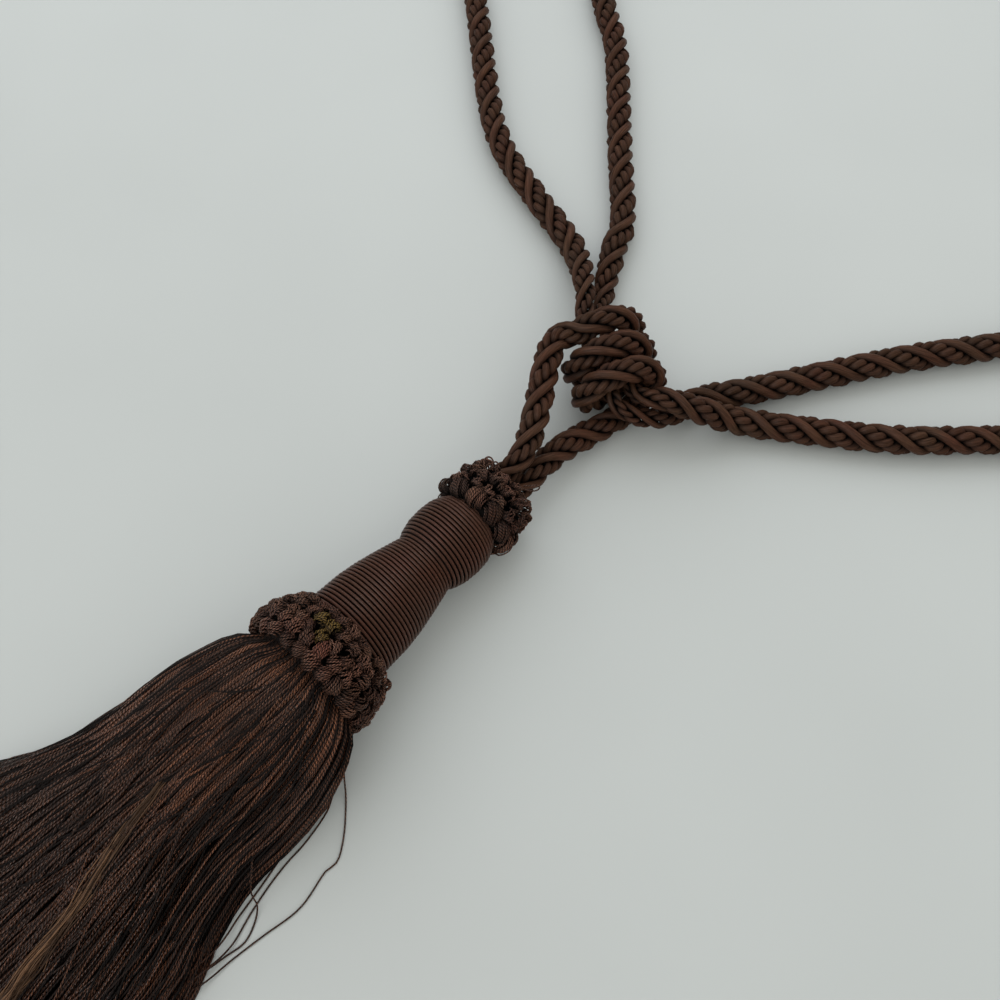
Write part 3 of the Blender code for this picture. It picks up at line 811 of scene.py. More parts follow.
class RuffSettings(bpy.types.PropertyGroup):
    """The two ruffs of looped yarn."""
    lower_yarn: size("Lower yarn radius", "Radius of the lower ruff's yarn", 0.00028)
    upper_yarn: size("Upper yarn radius", "Radius of the upper ruff's yarn", 0.00026)
    twist_pitch: size("Twist pitch", "Length of one full turn of the yarn's two plies", 0.0018)
    loops: IntProperty(name="Loops", description="Loops of yarn in each cluster", default=8,
                       min=2, max=16)
    # light and dark: two tones of fibre streak, also painted light on high fibres and painted shade
    # on low ones
    light: colour("Light brown", "Fibres that catch the light", (0.140, 0.066, 0.038))
    warm: colour("Warm brown", "Redder fibres", (0.150, 0.057, 0.036))
    cool: colour("Cool brown", "Duller fibres", (0.105, 0.064, 0.048))
    dark: colour("Dark brown", "Fibres between them", (0.022, 0.010, 0.007))


class SkirtSettings(bpy.types.PropertyGroup):
    """The skirt of twisted yarn."""
    yarns: IntProperty(name="Yarns", description="Number of yarns in the skirt", default=1800,
                       min=100, max=2400)
    yarn_radius: size("Yarn radius", "Radius of one twisted yarn", 0.00028)
    stray_radius: size("Stray yarn radius", "Radius of a yarn that lies on the surface", 0.00026)
    twist_pitch: size("Twist pitch", "Length of one full turn of the yarn's two plies", 0.0023)
    # light and dark: two tones of fibre streak, also painted light on high fibres and painted shade
    # on low ones
    light: colour("Light brown", "Fibres that catch the light", (0.132, 0.054, 0.032))
    warm: colour("Warm brown", "Redder fibres", (0.156, 0.057, 0.027))
    cool: colour("Cool brown", "Duller fibres", (0.082, 0.042, 0.027))
    dark: colour("Dark brown", "Fibres between them", (0.019, 0.0085, 0.0055))


class PaleLockSettings(bpy.types.PropertyGroup):
    """The pale lock in the skirt."""
    yarns: IntProperty(name="Yarns", description="Number of yarns in the pale lock", default=110,
                       min=10, max=200)
    yarn_radius: size("Yarn radius", "Radius of one fine yarn", 0.00015)
    # light and dark: two tones of fibre streak, also painted light on high fibres and painted shade
    # on low ones
    light: colour("Light tan", "Fibres that catch the light", (0.180, 0.095, 0.050))
    warm: colour("Warm tan", "Redder fibres", (0.160, 0.080, 0.040))
    cool: colour("Cool tan", "Duller fibres", (0.160, 0.090, 0.052))
    dark: colour("Dark tan", "Fibres between them", (0.070, 0.034, 0.017))


# ---- ropes ----

CREVICE_START = 0.0044       # yarn nearer the rope's middle than this is painted in shade
CREVICE_END = 0.0028         # and nearer than this, in the deepest painted shade
# A strand with two tints has two plies, and one with a single tint is plain.
STRAND_TINTS = ((0.36, 0.46), (0.62,), (0.48, 0.58), (0.72,))
PLY_SIDES = 7
PLAIN_SIDES = 9
POINTS_PER_PLY_TURN = 11.5
POINTS_PER_LAY = 16.0


def laid_rope_tree():
    """Two thick two-ply strands and two plain ones, laid right-handed round a centreline."""
    tree, given = new_tree("laid_rope", (
        "Lay", "Thick Offset", "Ply Offset", "Ply Radius", "Ply Pitch", "Plain Offset",
        "Plain Radius", "Fine Step", "Coarse Step"))
    squeeze = result(tree, "GeometryNodeInputRadius")
    place = position(tree)
    fine, coarse = (resampled(tree, given["Geometry"], "LENGTH", given[step])
                    for step in ("Fine Step", "Coarse Step"))
    fine, coarse = (mark(tree, mark(tree, line, "middle", place, "FLOAT_VECTOR"),
                         "squeeze", squeeze) for line in (fine, coarse))
    yarns = []
    for number, tints in enumerate(STRAND_TINTS):
        thick = len(tints) > 1
        line, kind, sides = (fine, "Thick", PLY_SIDES) if thick else (coarse, "Plain", PLAIN_SIDES)
        strand = on_helix(tree, line, given[kind + " Offset"], given["Lay"],
                          number * TURN / len(STRAND_TINTS), 1.0)
        radius = calc(tree, "MULTIPLY", given["Ply Radius" if thick else "Plain Radius"], squeeze)
        for ply, tint in enumerate(tints):
            one = strand
            if thick:
                one = on_helix(tree, strand, given["Ply Offset"], given["Ply Pitch"],
                               ply * TURN / len(tints), -1.0)
            yarns.append(yarn_mesh(tree, mark(tree, one, "tint", tint), radius, sides))
    # Painted shade in the rope's crevices, carried by the depth attribute.
    apart = combine(tree, "DISTANCE", place, stored(tree, "middle", "FLOAT_VECTOR"))
    crevice_shade = ranged(tree, calc(tree, "DIVIDE", apart, stored(tree, "squeeze")),
                     start=CREVICE_START, end=CREVICE_END)
    end_tree(tree, mark(tree, join(tree, *yarns), "depth", crevice_shade), given["Material"])
    return tree


def make_rope(name, node, route, tree, sizes, material):
    """One rope along its route, which starts and ends in the tassel."""
    dense = smooth_route(route)
    source = curve_object(name + "_line", [even_steps(dense, CENTRELINE_STEP)])
    piece = grow(name, node, tree, source, {
        "Lay": sizes.lay, "Thick Offset": sizes.thick_offset, "Ply Offset": sizes.ply_offset,
        "Ply Radius": sizes.ply_radius, "Ply Pitch": sizes.ply_pitch,
        "Plain Offset": sizes.plain_offset, "Plain Radius": sizes.plain_radius,
        "Fine Step": sizes.ply_pitch / POINTS_PER_PLY_TURN,
        "Coarse Step": sizes.lay / POINTS_PER_LAY, "Material": material})


class TIEBACK_OT_ropes(bpy.types.Operator):
    """Make the embrace rope and the hanger rope"""
    bl_idname = "tieback.ropes"
    bl_label = "Make ropes"

    def execute(self, context):
        sizes = context.scene.tieback_ropes
        tree = laid_rope_tree()
        material = satin_material("rope_satin", sizes, fineness=9.0, fibre_length=0.005,
                                  slant=60.0, relief=0.0002, rough=0.46, specular=0.08)
        hanger = HANGER_UP_ROUTE + wrap_points() + HANGER_DOWN_ROUTE
        make_rope("hanger_cord", "hanger_rope", hanger, tree, sizes, material)
        make_rope("embrace_cord", "embrace_rope", EMBRACE_ROUTE, tree, sizes,
                  material)
        return {"FINISHED"}


# ---- head ----

WINDING_SIDES = 8
WINDING_STEPS = 60           # points in one turn of the winding
WINDING_SUNK = 0.7           # how far the cord's middle lies inside the profile, in its radii
MOULD_SUNK = 1.5             # and the mould's surface
MOULD_POINTS = 90
MOULD_SIDES = 48


def tilt_onto_axis(tree, vector, tilt, height):
    """From the tassel's own axis (+Y) to where it lies, tilted down towards the rope."""
    turned = rotated(tree, vector, calc(tree, "MULTIPLY", tilt, -1.0), "X_AXIS")
    return combine(tree, "ADD", turned, xyz(tree, z=height))


def profile_place(tree, profile, share):
    """The place along the axis and the radius at a share of the profile's length."""
    sample = put(tree, "GeometryNodeSampleCurve", {"Curves": profile, "Factor": share},
                 mode="FACTOR", use_all_curves=True)
    return split(tree, sample.outputs["Position"])[:2]


def wound_head_tree():
    """A cord wound on a turned mould, whose profile is the tree's curve."""
    tree, given = new_tree("wound_head", ("Turns", "Cord Radius", "Tilt", "Height"),
                           ("Steps per Turn",))
    line = result(tree, "GeometryNodeCurvePrimitiveLine", {"End": (0.0, 1.0, 0.0)})
    steps = calc(tree, "MULTIPLY", given["Turns"], given["Steps per Turn"])
    share = result(tree, "GeometryNodeSplineParameter")
    along, radius = profile_place(tree, given["Geometry"], share)
    angle = calc(tree, "MULTIPLY", calc(tree, "MULTIPLY", share, given["Turns"]), TURN)
    reach, wide = (calc(tree, "SUBTRACT", radius, calc(tree, "MULTIPLY", given["Cord Radius"],
                                                       sunk))
                   for sunk in (WINDING_SUNK, MOULD_SUNK))
    place = xyz(tree, calc(tree, "MULTIPLY", reach, calc(tree, "COSINE", angle)), along,
                calc(tree, "MULTIPLY", reach, calc(tree, "SINE", angle)))
    lying, middle = (tilt_onto_axis(tree, spot, given["Tilt"], given["Height"])
                     for spot in (place, xyz(tree, y=along)))
    spiral = moved(tree, resampled(tree, line, "COUNT", steps), Position=lying)
    spiral = mark(tree, spiral, "tint", 0.5)
    cord = yarn_mesh(tree, spiral, given["Cord Radius"], WINDING_SIDES)

    # The mould is painted in the deepest shade, as the dark shade between the turns of cord.
    core = moved(tree, resampled(tree, line, "COUNT", MOULD_POINTS), Position=middle)
    core = mark(tree, mark(tree, core, "wide", wide), "depth", 1.0)
    mould = yarn_mesh(tree, core, stored(tree, "wide"), MOULD_SIDES)
    end_tree(tree, join(tree, cord, mould), given["Material"])
    return tree


class TIEBACK_OT_head(bpy.types.Operator):
    """Wind the head"""
    bl_idname = "tieback.head"
    bl_label = "Make head"

    def execute(self, context):
        sizes = context.scene.tieback_head
        profile = [(along, radius, 0.0, 1.0) for along, radius in HEAD_PROFILE]
        run = sum(math.dist(a, b) for a, b in zip(HEAD_PROFILE, HEAD_PROFILE[1:]))
        material = satin_material("head_winding", sizes, fineness=2.5, fibre_length=0.0006,
                                  slant=900.0, relief=0.00008)
        grow("head_winding", "head", wound_head_tree(),
             curve_object("head_profile", [profile]), {
                 "Turns": run / sizes.pitch, "Cord Radius": sizes.cord_radius, "Tilt": AXIS_TILT,
                 "Height": AXIS_HEIGHT, "Steps per Turn": WINDING_STEPS, "Material": material})
        return {"FINISHED"}


# ---- ruffs ----

def axis_point(along, radius, angle):
    """A point round the tassel's axis; angle 0 is towards +X, a quarter turn is upwards."""
    up = radius * math.sin(angle)
    y = along * math.cos(AXIS_TILT) + up * math.sin(AXIS_TILT)
    z = AXIS_HEIGHT - along * math.sin(AXIS_TILT) + up * math.cos(AXIS_TILT)
    return Vector((radius * math.cos(angle), y, z))


def ruff_band(name, rows, inner, clusters):
    """A closed band under a ruff, whose outer faces are marked as places for clusters."""
    profile = rows + ((rows[-1][0] + RUFF_EDGE, inner), (rows[0][0] - RUFF_EDGE, inner))
    across = len(profile)
    vertices, faces, sites = [], [], []
    for step in range(clusters):
        first, second = step * across, (step + 1) % clusters * across
        for number, (along, radius) in enumerate(profile):
            shift = 0.5 if number % 2 and number < len(rows) else 0.0
            point = axis_point(along, radius, TURN * (step + shift) / clusters)
            point.z = max(point.z, RUFF_LOWEST)
            vertices.append(point)
            beyond = (number + 1) % across
            faces.append((first + number, first + beyond, second + beyond, second + number))
            sites.append(number < len(rows) - 1)
    mesh = bpy.data.meshes.new(name)
    mesh.from_pydata(vertices, [], faces)
    mesh.attributes.new("site", "BOOLEAN", "FACE").data.foreach_set("value", sites)
    return new_object(name, mesh)


LOOP_POINTS = 12
LOOP_SIDES = 4
LOOP_SQUARENESS = 0.7        # below 1 a loop is steep at its feet and broad on top
FOOT_SHADE = 1.1             # painted shade on a loop's feet
BEHIND_SHADES = (-0.25, 0.6)    # painted shade on whole loops, at random; below 0 is no shade
# the most painted shade that a loop gets
DEEPEST_LOOP = 0.95
# Chances from lowest to highest: a length, turns in radians, and shares of the set sizes.
LOOP_STAGGER = (-0.0004, 0.0004)
LOOP_HEIGHTS = (0.85, 1.15)
LOOP_YAWS = (-1.0, 1.0)
LOOP_ROLLS = (-0.5, 0.5)
CLUSTER_SLANTS = (-1.0, 1.0)
CLUSTER_LEANS = (-0.35, 0.35)
CLUSTER_WIDTHS = (0.80, 1.18)
CLUSTER_LENGTHS = (0.78, 1.2)
CLUSTER_HEIGHTS = (0.72, 1.2)
PLAIN_TINTS = (0.0, 0.999)
CRINKLE_SCALE = 700.0
CRINKLE_LEAST = 0.6          # share of the crinkle that every cluster has
CRINKLE_MORE = 1.6           # and what the wildest has on top
FRIZZ_RARITY = 2.0           # above 1 fewer clusters are wild


def loop_cluster(tree, given):
    """A row of loops of yarn side by side, low at its two ends, as curves, with painted shade on
    the loops' feet and on some whole loops.
    """
    line = result(tree, "GeometryNodeCurvePrimitiveLine", {"End": (1.0, 0.0, 0.0)})
    share = result(tree, "GeometryNodeSplineParameter")
    swing = calc(tree, "MULTIPLY", share, TURN / 2.0)
    run = calc(tree, "MULTIPLY", calc(tree, "COSINE", swing), -0.5)
    lift = calc(tree, "POWER", calc(tree, "SINE", swing), LOOP_SQUARENESS)
    arch = xyz(tree, 0.0, calc(tree, "MULTIPLY", run, given["Cluster Length"]),
               calc(tree, "MULTIPLY", lift, given["Loop Height"]))
    loop = moved(tree, resampled(tree, line, "COUNT", LOOP_POINTS), Position=arch)
    hidden = calc(tree, "MULTIPLY", calc(tree, "SUBTRACT", 1.0, lift), FOOT_SHADE)
    loop = mark(tree, loop, "hidden", hidden)

    places = result(tree, "GeometryNodeMeshLine", {"Count": given["Loops"]}, mode="OFFSET")
    last = calc(tree, "SUBTRACT", given["Loops"], 1.0)
    index = result(tree, "GeometryNodeInputIndex")
    sideways = calc(tree, "SUBTRACT", calc(tree, "DIVIDE", index, last), 0.5)
    spot = xyz(tree, calc(tree, "MULTIPLY", sideways, given["Cluster Width"]),
               chance(tree, *LOOP_STAGGER, 11))
    edge = calc(tree, "MULTIPLY", calc(tree, "MULTIPLY", sideways, sideways), 2.0)
    low = calc(tree, "SUBTRACT", 1.0, edge)
    uneven = calc(tree, "MULTIPLY", low, chance(tree, *LOOP_HEIGHTS, 12))
    yaw = calc(tree, "MULTIPLY", chance(tree, *LOOP_YAWS, 13), given["Tangle"])
    roll = calc(tree, "MULTIPLY", chance(tree, *LOOP_ROLLS, 14), given["Tangle"])
    cluster = result(tree, "GeometryNodeInstanceOnPoints", {
        "Points": moved(tree, places, Position=spot), "Instance": loop,
        "Rotation": result(tree, "FunctionNodeEulerToRotation", {0: xyz(tree, 0.0, roll, yaw)}),
        "Scale": xyz(tree, 1.0, low, uneven)})
    cluster = mark(tree, cluster, "behind", chance(tree, *BEHIND_SHADES, 15), domain="INSTANCE")
    cluster = result(tree, "GeometryNodeRealizeInstances", {0: cluster})
    behind = calc(tree, "MAXIMUM", stored(tree, "behind"), 0.0)
    shaded = calc(tree, "ADD", stored(tree, "hidden"), behind)
    return mark(tree, cluster, "depth", calc(tree, "MINIMUM", shaded, DEEPEST_LOOP))


def on_band(tree, given, cluster):
    """A cluster on each marked face of the band, turned to face outwards, no two alike."""
    normal = result(tree, "GeometryNodeInputNormal")
    band = mark(tree, given["Geometry"], "outward", normal, "FLOAT_VECTOR", "FACE")
    sites = result(tree, "GeometryNodeMeshToPoints", {
        "Mesh": band, "Selection": stored(tree, "site", "BOOLEAN")}, mode="FACES")
    stray = result(tree, "FunctionNodeRandomValue", {
        "Min": (-1.0, -1.0, -1.0), "Seed": given["Seed"]}, data_type="FLOAT_VECTOR")
    sites = moved(tree, sites, Offset=scaled(tree, stray, given["Jitter"]))
    axis = rotated(tree, (0.0, 1.0, 0.0), calc(tree, "MULTIPLY", given["Tilt"], -1.0), "X_AXIS")
    facing = result(tree, "FunctionNodeAxesToRotation", {
        "Primary Axis": stored(tree, "outward", "FLOAT_VECTOR"), "Secondary Axis": axis},
        primary_axis="Z", secondary_axis="Y")
    spin = calc(tree, "MULTIPLY_ADD", chance(tree, *CLUSTER_SLANTS, 21), given["Slant Spread"],
                given["Slant"])
    lean = xyz(tree, chance(tree, *CLUSTER_LEANS, 22), chance(tree, *CLUSTER_LEANS, 23), spin)
    turned = result(tree, "FunctionNodeRotateRotation", {
        "Rotation": facing,
        "Rotate By": result(tree, "FunctionNodeEulerToRotation", {0: lean})},
        rotation_space="LOCAL")
    return result(tree, "GeometryNodeInstanceOnPoints", {
        "Points": sites, "Instance": cluster, "Rotation": turned,
        "Scale": xyz(tree, chance(tree, *CLUSTER_WIDTHS, 24), chance(tree, *CLUSTER_LENGTHS, 25),
                     chance(tree, *CLUSTER_HEIGHTS, 26))})


def tuft_tint(tree):
    """A tint for each cluster, which in a tuft is the tuft's own."""
    tint = chance(tree, *PLAIN_TINTS, 27)
    for spot, reach, chosen in TUFTS:
        inside = calc(tree, "LESS_THAN", combine(tree, "DISTANCE", position(tree), spot), reach)
        kept = calc(tree, "MULTIPLY", tint, calc(tree, "SUBTRACT", 1.0, inside))
        tint = calc(tree, "MULTIPLY_ADD", inside, chosen, kept)
    return tint


def yarn_ruff_tree():
    """Clusters of looped yarn on the marked faces of a band."""
    tree, given = new_tree("yarn_ruff", ("Yarn Radius", *RUFF_INPUTS, "Tilt"), ("Loops", "Seed"))
    grown = on_band(tree, given, loop_cluster(tree, given))
    tinted = mark(tree, grown, "tint", tuft_tint(tree), domain="INSTANCE")
    frizz = calc(tree, "POWER", chance(tree, 0.0, 1.0, 28), FRIZZ_RARITY)
    tinted = mark(tree, tinted, "frizz", frizz, domain="INSTANCE")
    loops = result(tree, "GeometryNodeRealizeInstances", {0: tinted})
    strength = calc(tree, "MULTIPLY_ADD", stored(tree, "frizz"), CRINKLE_MORE, CRINKLE_LEAST)
    loops = shaken(tree, loops, position(tree), CRINKLE_SCALE, 1.0,
                   calc(tree, "MULTIPLY", given["Crinkle"], strength))
    yarns = yarn_mesh(tree, loops, given["Yarn Radius"], LOOP_SIDES)
    inwards = scaled(tree, result(tree, "GeometryNodeInputNormal"),
                     calc(tree, "MULTIPLY", given["Sink"], -1.0))
    backing = moved(tree, given["Geometry"], Selection=stored(tree, "site", "BOOLEAN"),
                    Offset=inwards)
    # The band is painted in the deepest shade, a dark sheet that shows as shade between the loops.
    joined = join(tree, yarns, mark(tree, backing, "depth", 1.0))
    end_tree(tree, raised(tree, joined, LOOP_LOWEST), given["Material"])
    return tree


class TIEBACK_OT_ruffs(bpy.types.Operator):
    """Make the lower and the upper ruff of looped yarn"""
    bl_idname = "tieback.ruffs"
    bl_label = "Make ruffs"

    def execute(self, context):
        sizes = context.scene.tieback_ruffs
        tree = yarn_ruff_tree()
        material = satin_material("ruff_yarn", sizes, fineness=2.0, fibre_length=0.0008,
                                  slant=1500.0, relief=0.0002, ply_pitch=sizes.twist_pitch,
                                  tints=TUFT_COLOURS, specular=0.14)
        for name, node, rows, inner, clusters, yarn, more_loops, seed, values in RUFF_PARTS:
            grow(name, node, tree, ruff_band(name + "_band", rows, inner, clusters), {
                **dict(zip(RUFF_INPUTS, values)), "Yarn Radius": getattr(sizes, yarn),
                "Loops": sizes.loops + more_loops, "Seed": seed, "Tilt": AXIS_TILT,
                "Material": material})
        lines = [smooth_line(route, OPEN_LOOP_STEP) for route in OPEN_LOOP_ROUTES]
        grow("upper_ruff_open_loops", "upper_ruff", skirt_yarn_tree(),
             curve_object("upper_ruff_open_loop_lines", lines), {
                 "Yarn Radius": sizes.upper_yarn, "Wave": 0.0, "Points": OPEN_LOOP_POINTS,
                 "Material": material})
        return {"FINISHED"}


# ---- skirt ----

def skirt_section(y):
    """The skirt's section at y, blended between the table's rows."""
    if y >= SKIRT_SECTIONS[0][0]:
        return SKIRT_SECTIONS[0]
    for first, second in zip(SKIRT_SECTIONS, SKIRT_SECTIONS[1:]):
        if y >= second[0]:
            share = (y - first[0]) / (second[0] - first[0])
            eased = share * share * (3.0 - 2.0 * share)
            share += (eased - share) * SECTION_EASE
            return tuple(a + (b - a) * share for a, b in zip(first, second))
    return SKIRT_SECTIONS[-1]


def place_in_skirt(across, upward, y):
    """Where a place in the unit disc of the bundle's section lies at y."""
    _, middle, half_width, lowest, height, slump = skirt_section(y)
    column = math.sqrt(max(0.0, 1.0 - across * across))
    round_z = lowest + height * 0.5 * (1.0 + upward)
    slumped_z = lowest + height * 0.5 * (column + upward)
    return (middle + half_width * across, y, round_z + (slumped_z - round_z) * slump)


def disc_place(draw, outer):
    """A random place in the unit disc, near its edge if outer is true."""
    radius = math.sqrt(draw.uniform(OUTER_FROM, 1.0) if outer else draw.random())
    angle = draw.uniform(0.0, TURN)
    return radius * math.cos(angle), radius * math.sin(angle)


def skirt_yarn_line(draw, locks, outer, radius):
    """One yarn's line, from its root under the ruff to its tip: x, y, z, and depth, its painted
    shade.
    """
    across, upward = disc_place(draw, outer)
    lock = min(locks, key=lambda spot: math.dist(spot, (across, upward)))
    crosses = draw.random() < CROSSING_SHARE
    drift = draw.gauss(0.0, DRIFTS[crosses])
    sway = draw.gauss(0.0, SWAYS[crosses])
    beat, phase = draw.uniform(*SWAY_BEATS), draw.uniform(0.0, TURN)
    tip = SKIRT_TIP + TIP_ROUNDING * across * across + TIP_UNEVENNESS * draw.random()
    # Painted shade on the yarns that lie deeper than the bundle's surface.
    depth = (SURFACE_SHARE - math.hypot(across, upward)) / SHADE_DEPTH
    line = []
    for share in STATIONS:
        pull = ROOT_PULL * min(1.0, ROOT_PULL_RISE * share) * (1.0 - share) + TIP_PULL * share
        side = across + (lock[0] - across) * pull + drift * share
        side += sway * math.sin(phase + beat * TURN * share) * min(1.0, SWAY_RISE * share)
        rise = upward + (lock[1] - upward) * pull
        reach, limit = math.hypot(side, rise), REACHES[crosses]
        if crosses or reach > limit:
            side, rise = side / reach * limit, rise / reach * limit
        x, y, z = place_in_skirt(side, rise, YARN_ROOT + (tip - YARN_ROOT) * share)
        # Near the hollow the yarns sink and take painted shade.
        away = math.hypot((x - HOLLOW[0]) / HOLLOW[2], (y - HOLLOW[1]) / HOLLOW[3])
        sunk = 0.0 if crosses else math.exp(-away * away)
        z = max(z * (1.0 - HOLLOW_SINK * sunk), radius * YARN_CLEARANCE)
        painted_root_shade = ROOT_SHADE * max(0.0, 1.0 - share / ROOT_SHADE_END)
        line.append((x, y, z, min(max(depth + sunk + painted_root_shade, 0.0), 1.0)))
    return line


def skirt_yarn_lines(count, radius):
    """The line of every yarn of the skirt."""
    draw = random.Random(SKIRT_SEED)
    locks = [disc_place(draw, draw.random() < OUTER_LOCKS) for _ in range(LOCKS)]
    outer, of_all = OUTER_YARNS
    return [skirt_yarn_line(draw, locks, number % of_all < outer, radius)
            for number in range(count)]


def pale_lock_lines(count):
    """Fine yarns side by side along the pale lock, which wander across it."""
    draw = random.Random(PALE_LOCK_SEED)
    middle = smooth_line(PALE_LOCK_ROUTE, PALE_LOCK_STEP)
    last = len(middle) - 1
    narrow, flare = PALE_LOCK_FLARE
    lines = []
    for _ in range(count):
        start, end = sorted((draw.uniform(*PALE_LOCK_STARTS), draw.uniform(*PALE_LOCK_ENDS)))
        side = draw.gauss(0.0, PALE_LOCK_SPREAD)
        drift = draw.gauss(0.0, PALE_LOCK_DRIFT)
        lift = draw.uniform(*PALE_LOCK_LIFT)
        line = []
        for number, (x, y, z, depth) in enumerate(
                middle[round(start * last):round(end * last) + 1]):
            across = PALE_LOCK_HALF_WIDTH * (narrow + flare * (start + number / last))
            line.append((x + (side + drift * number / last) * across, y, z + lift, depth))
        if len(line) >= FEWEST_POINTS:
            lines.append(line)
    return lines


YARN_SIDES = 4
WAVE_SCALE = 42.0
WAVE_DETAIL = 1.5
TINT_SHIFT = 3.0             # how far apart in the waves two yarns' tints put them


def skirt_yarn_tree():
    """Yarns swept along their lines, each with its own tint and small waves."""
    name = "skirt_yarns"
    if name in bpy.data.node_groups:
        return bpy.data.node_groups[name]
    tree, given = new_tree(name, ("Yarn Radius", "Wave"), ("Points",))
    # The curves' radius carries each point's painted shade, stored as depth.
    depth = result(tree, "GeometryNodeInputRadius")
    shaded = mark(tree, given["Geometry"], "depth", depth)
    tinted = mark(tree, shaded, "tint", chance(tree, 0.0, 1.0, 31), domain="CURVE")
    smooth = result(tree, "GeometryNodeCurveSplineType", {"Curve": tinted},
                    spline_type="CATMULL_ROM")
    fine = resampled(tree, smooth, "COUNT", given["Points"])
    tint = stored(tree, "tint")
    apart = xyz(tree, calc(tree, "MULTIPLY", tint, TINT_SHIFT))
    share = result(tree, "GeometryNodeSplineParameter")
    waved = shaken(tree, fine, combine(tree, "ADD", position(tree), apart), WAVE_SCALE,
                   WAVE_DETAIL, calc(tree, "MULTIPLY", given["Wave"], share))
    settled = raised(tree, waved, calc(tree, "MULTIPLY", given["Yarn Radius"], WAVED_CLEARANCE))
    start = calc(tree, "MULTIPLY", tint, YARN_START_SPREAD)
    yarns = yarn_mesh(tree, settled, given["Yarn Radius"], YARN_SIDES, start)
    end_tree(tree, yarns, given["Material"])
    return tree


def add_to_skirt(name, lines, values):
    """One piece of the skirt, grown from its yarns' lines."""
    grow(name, "skirt", skirt_yarn_tree(), curve_object(name + "_lines", lines),
         values)


class TIEBACK_OT_skirt(bpy.types.Operator):
    """Make the skirt of twisted yarn"""
    bl_idname = "tieback.skirt"
    bl_label = "Make skirt"

    def execute(self, context):
        sizes = context.scene.tieback_skirt
        # The wide tint spread makes each yarn brighter or darker at random, and the darker yarns
        # also stand in for painted shade in the gaps.
        material = satin_material("skirt_yarn", sizes, fineness=2.0, fibre_length=0.003,
                                  slant=0.0, relief=0.0003, ply_pitch=sizes.twist_pitch,
                                  warm_length=0.045, rough=0.28, specular=0.18, tint_spread=0.55)
        lines = skirt_yarn_lines(sizes.yarns, sizes.yarn_radius)
        for part in range(SKIRT_PARTS):
            add_to_skirt(f"skirt_yarn_{part + 1}", lines[part::SKIRT_PARTS], {
                "Yarn Radius": sizes.yarn_radius, "Wave": SKIRT_WAVE, "Points": SKIRT_POINTS,
                "Material": material})
        strays = [smooth_line(route, STRAY_STEP, STRAY_DEPTH) for route in STRAY_ROUTES]
        add_to_skirt("skirt_stray_yarns", strays, {
            "Yarn Radius": sizes.stray_radius, "Wave": 0.0, "Points": STRAY_POINTS,
            "Material": material})
        return {"FINISHED"}


class TIEBACK_OT_pale_lock(bpy.types.Operator):
    """Make the pale lock that lies on the skirt"""
    bl_idname = "tieback.pale_lock"
    bl_label = "Make pale lock"

    def execute(self, context):
        sizes = context.scene.tieback_pale_lock
        material = satin_material("pale_lock", sizes, fineness=2.0, fibre_length=0.002,
                                  slant=0.0, relief=0.0001, rough=0.6, tint_spread=0.7)
        add_to_skirt("skirt_pale_lock", pale_lock_lines(sizes.yarns), {
            "Yarn Radius": sizes.yarn_radius, "Wave": PALE_LOCK_WAVE, "Points": PALE_LOCK_POINTS,
            "Material": material})
        return {"FINISHED"}


# ---- stage ----

def make_camera():
    """The camera, which looks down on the tassel from its skirt's side."""
    data = bpy.data.cameras.new("camera")
    data.lens = SENSOR_WIDTH
    data.sensor_width = SENSOR_WIDTH
    data.clip_start = CAMERA_NEAR
    place = Vector(CAMERA_PLACE)
    forward = (Vector(CAMERA_AIM) - place).normalized()
    right = Vector(CAMERA_RIGHT).normalized()
    turn = Matrix((right, right.cross(forward), -forward)).transposed()
    camera = new_object("camera", data)
    camera.matrix_world = Matrix.Translation(place) @ turn.to_4x4()
    bpy.context.scene.camera = camera


def make_floor(settings):
    """The plain pale floor."""
    half = settings.floor_width / 2.0
    mesh = bpy.data.meshes.new("floor")
    mesh.from_pydata([(-half, -half, 0.0), (half, -half, 0.0), (half, half, 0.0),
                      (-half, half, 0.0)], [], [(0, 1, 2, 3)])
    material, tree, shader = new_material("floor_paint", FLOOR_SPECULAR)
    coordinates = put(tree, "ShaderNodeTexCoord").outputs["Object"]
    base = tuple(settings.floor_colour)
    deeper = tuple(FLOOR_DEEPER * value for value in base)
    drift = mottle(tree, coordinates, FLOOR_DRIFT_BREADTH)
    fill(tree, shader.inputs["Base Color"], mixed(tree, drift, base, deeper))
    shader.inputs["Roughness"].default_value = FLOOR_ROUGHNESS
    mesh.materials.append(material)
    new_object("floor", mesh)


def make_light(name, place, aim, width, power, tint, lights_matt):
    """One round soft light, which points from its place at its aim."""
    data = bpy.data.lights.new(name, "AREA")
    data.shape = "DISK"
    data.size = width
    data.energy = power
    data.color = tint
    light = new_object(name, data)
    light.location = place
    light.rotation_mode = "QUATERNION"
    light.rotation_quaternion = (Vector(aim) - Vector(place)).to_track_quat("-Z", "Y")
    light.visible_diffuse = lights_matt


def make_fill(strength):
    """The even light from all sides, dimmed in reflections."""
    world = bpy.data.worlds.new("soft_fill")
    world.use_nodes = True
    tree = world.node_tree
    background = tree.nodes["Background"]
    background.inputs["Color"].default_value = FILL_COLOUR
    glossy = put(tree, "ShaderNodeLightPath").outputs["Is Glossy Ray"]
    fill(tree, background.inputs["Strength"],
         calc(tree, "MULTIPLY_ADD", glossy, -FILL_GLOSS_LOSS * strength, strength))
    bpy.context.scene.world = world


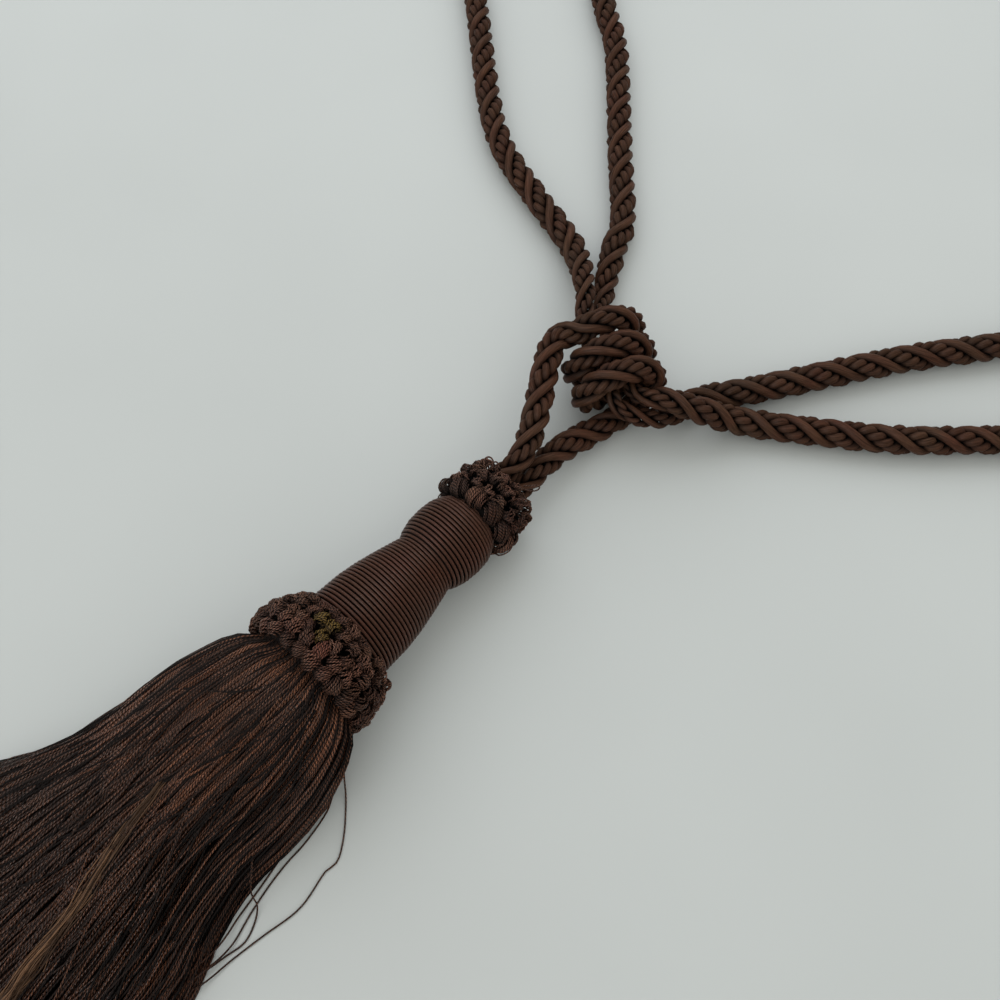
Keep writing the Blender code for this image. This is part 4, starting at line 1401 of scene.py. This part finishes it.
class TIEBACK_OT_stage(bpy.types.Operator):
    """Make the camera, the floor and the soft light"""
    bl_idname = "tieback.stage"
    bl_label = "Make stage"

    def execute(self, context):
        settings = context.scene.tieback_stage
        make_camera()
        make_floor(settings)
        for name, place, aim, width, power, tint, lights_matt in LIGHTS:
            make_light(name, place, aim, width, settings.key_power * power, tint, lights_matt)
        make_fill(settings.fill_strength)
        context.scene.view_settings.view_transform = "Standard"
        return {"FINISHED"}


# ---- the add-on: each piece's settings, and the operator that makes it ----

PIECES = (
    ("tieback_stage", StageSettings, TIEBACK_OT_stage),
    ("tieback_ropes", RopeSettings, TIEBACK_OT_ropes),
    ("tieback_head", HeadSettings, TIEBACK_OT_head),
    ("tieback_ruffs", RuffSettings, TIEBACK_OT_ruffs),
    ("tieback_skirt", SkirtSettings, TIEBACK_OT_skirt),
    ("tieback_pale_lock", PaleLockSettings, TIEBACK_OT_pale_lock),
)


class TIEBACK_PT_pieces(bpy.types.Panel):
    """Sizes and colours of the tieback's pieces, and the buttons that make them"""
    bl_label = "Curtain tieback tassel"
    bl_idname = "TIEBACK_PT_pieces"
    bl_space_type = "VIEW_3D"
    bl_region_type = "UI"
    bl_category = "Tieback"

    def draw(self, context):
        for name, settings, operator in PIECES:
            box = self.layout.box()
            for label in settings.__annotations__:
                box.prop(getattr(context.scene, name), label)
            box.operator(operator.bl_idname)


def register():
    """Register the settings, the operators and the panel."""
    for name, settings, operator in PIECES:
        bpy.utils.register_class(settings)
        bpy.utils.register_class(operator)
        setattr(bpy.types.Scene, name, PointerProperty(type=settings))
    bpy.utils.register_class(TIEBACK_PT_pieces)


def unregister():
    """Take them all out again."""
    bpy.utils.unregister_class(TIEBACK_PT_pieces)
    for name, settings, operator in reversed(PIECES):
        delattr(bpy.types.Scene, name)
        bpy.utils.unregister_class(operator)
        bpy.utils.unregister_class(settings)


def main():
    """Make every piece."""
    register()
    bpy.ops.tieback.stage()
    bpy.ops.tieback.ropes()
    bpy.ops.tieback.head()
    bpy.ops.tieback.ruffs()
    bpy.ops.tieback.skirt()
    bpy.ops.tieback.pale_lock()


if __name__ == "__main__":
    main()
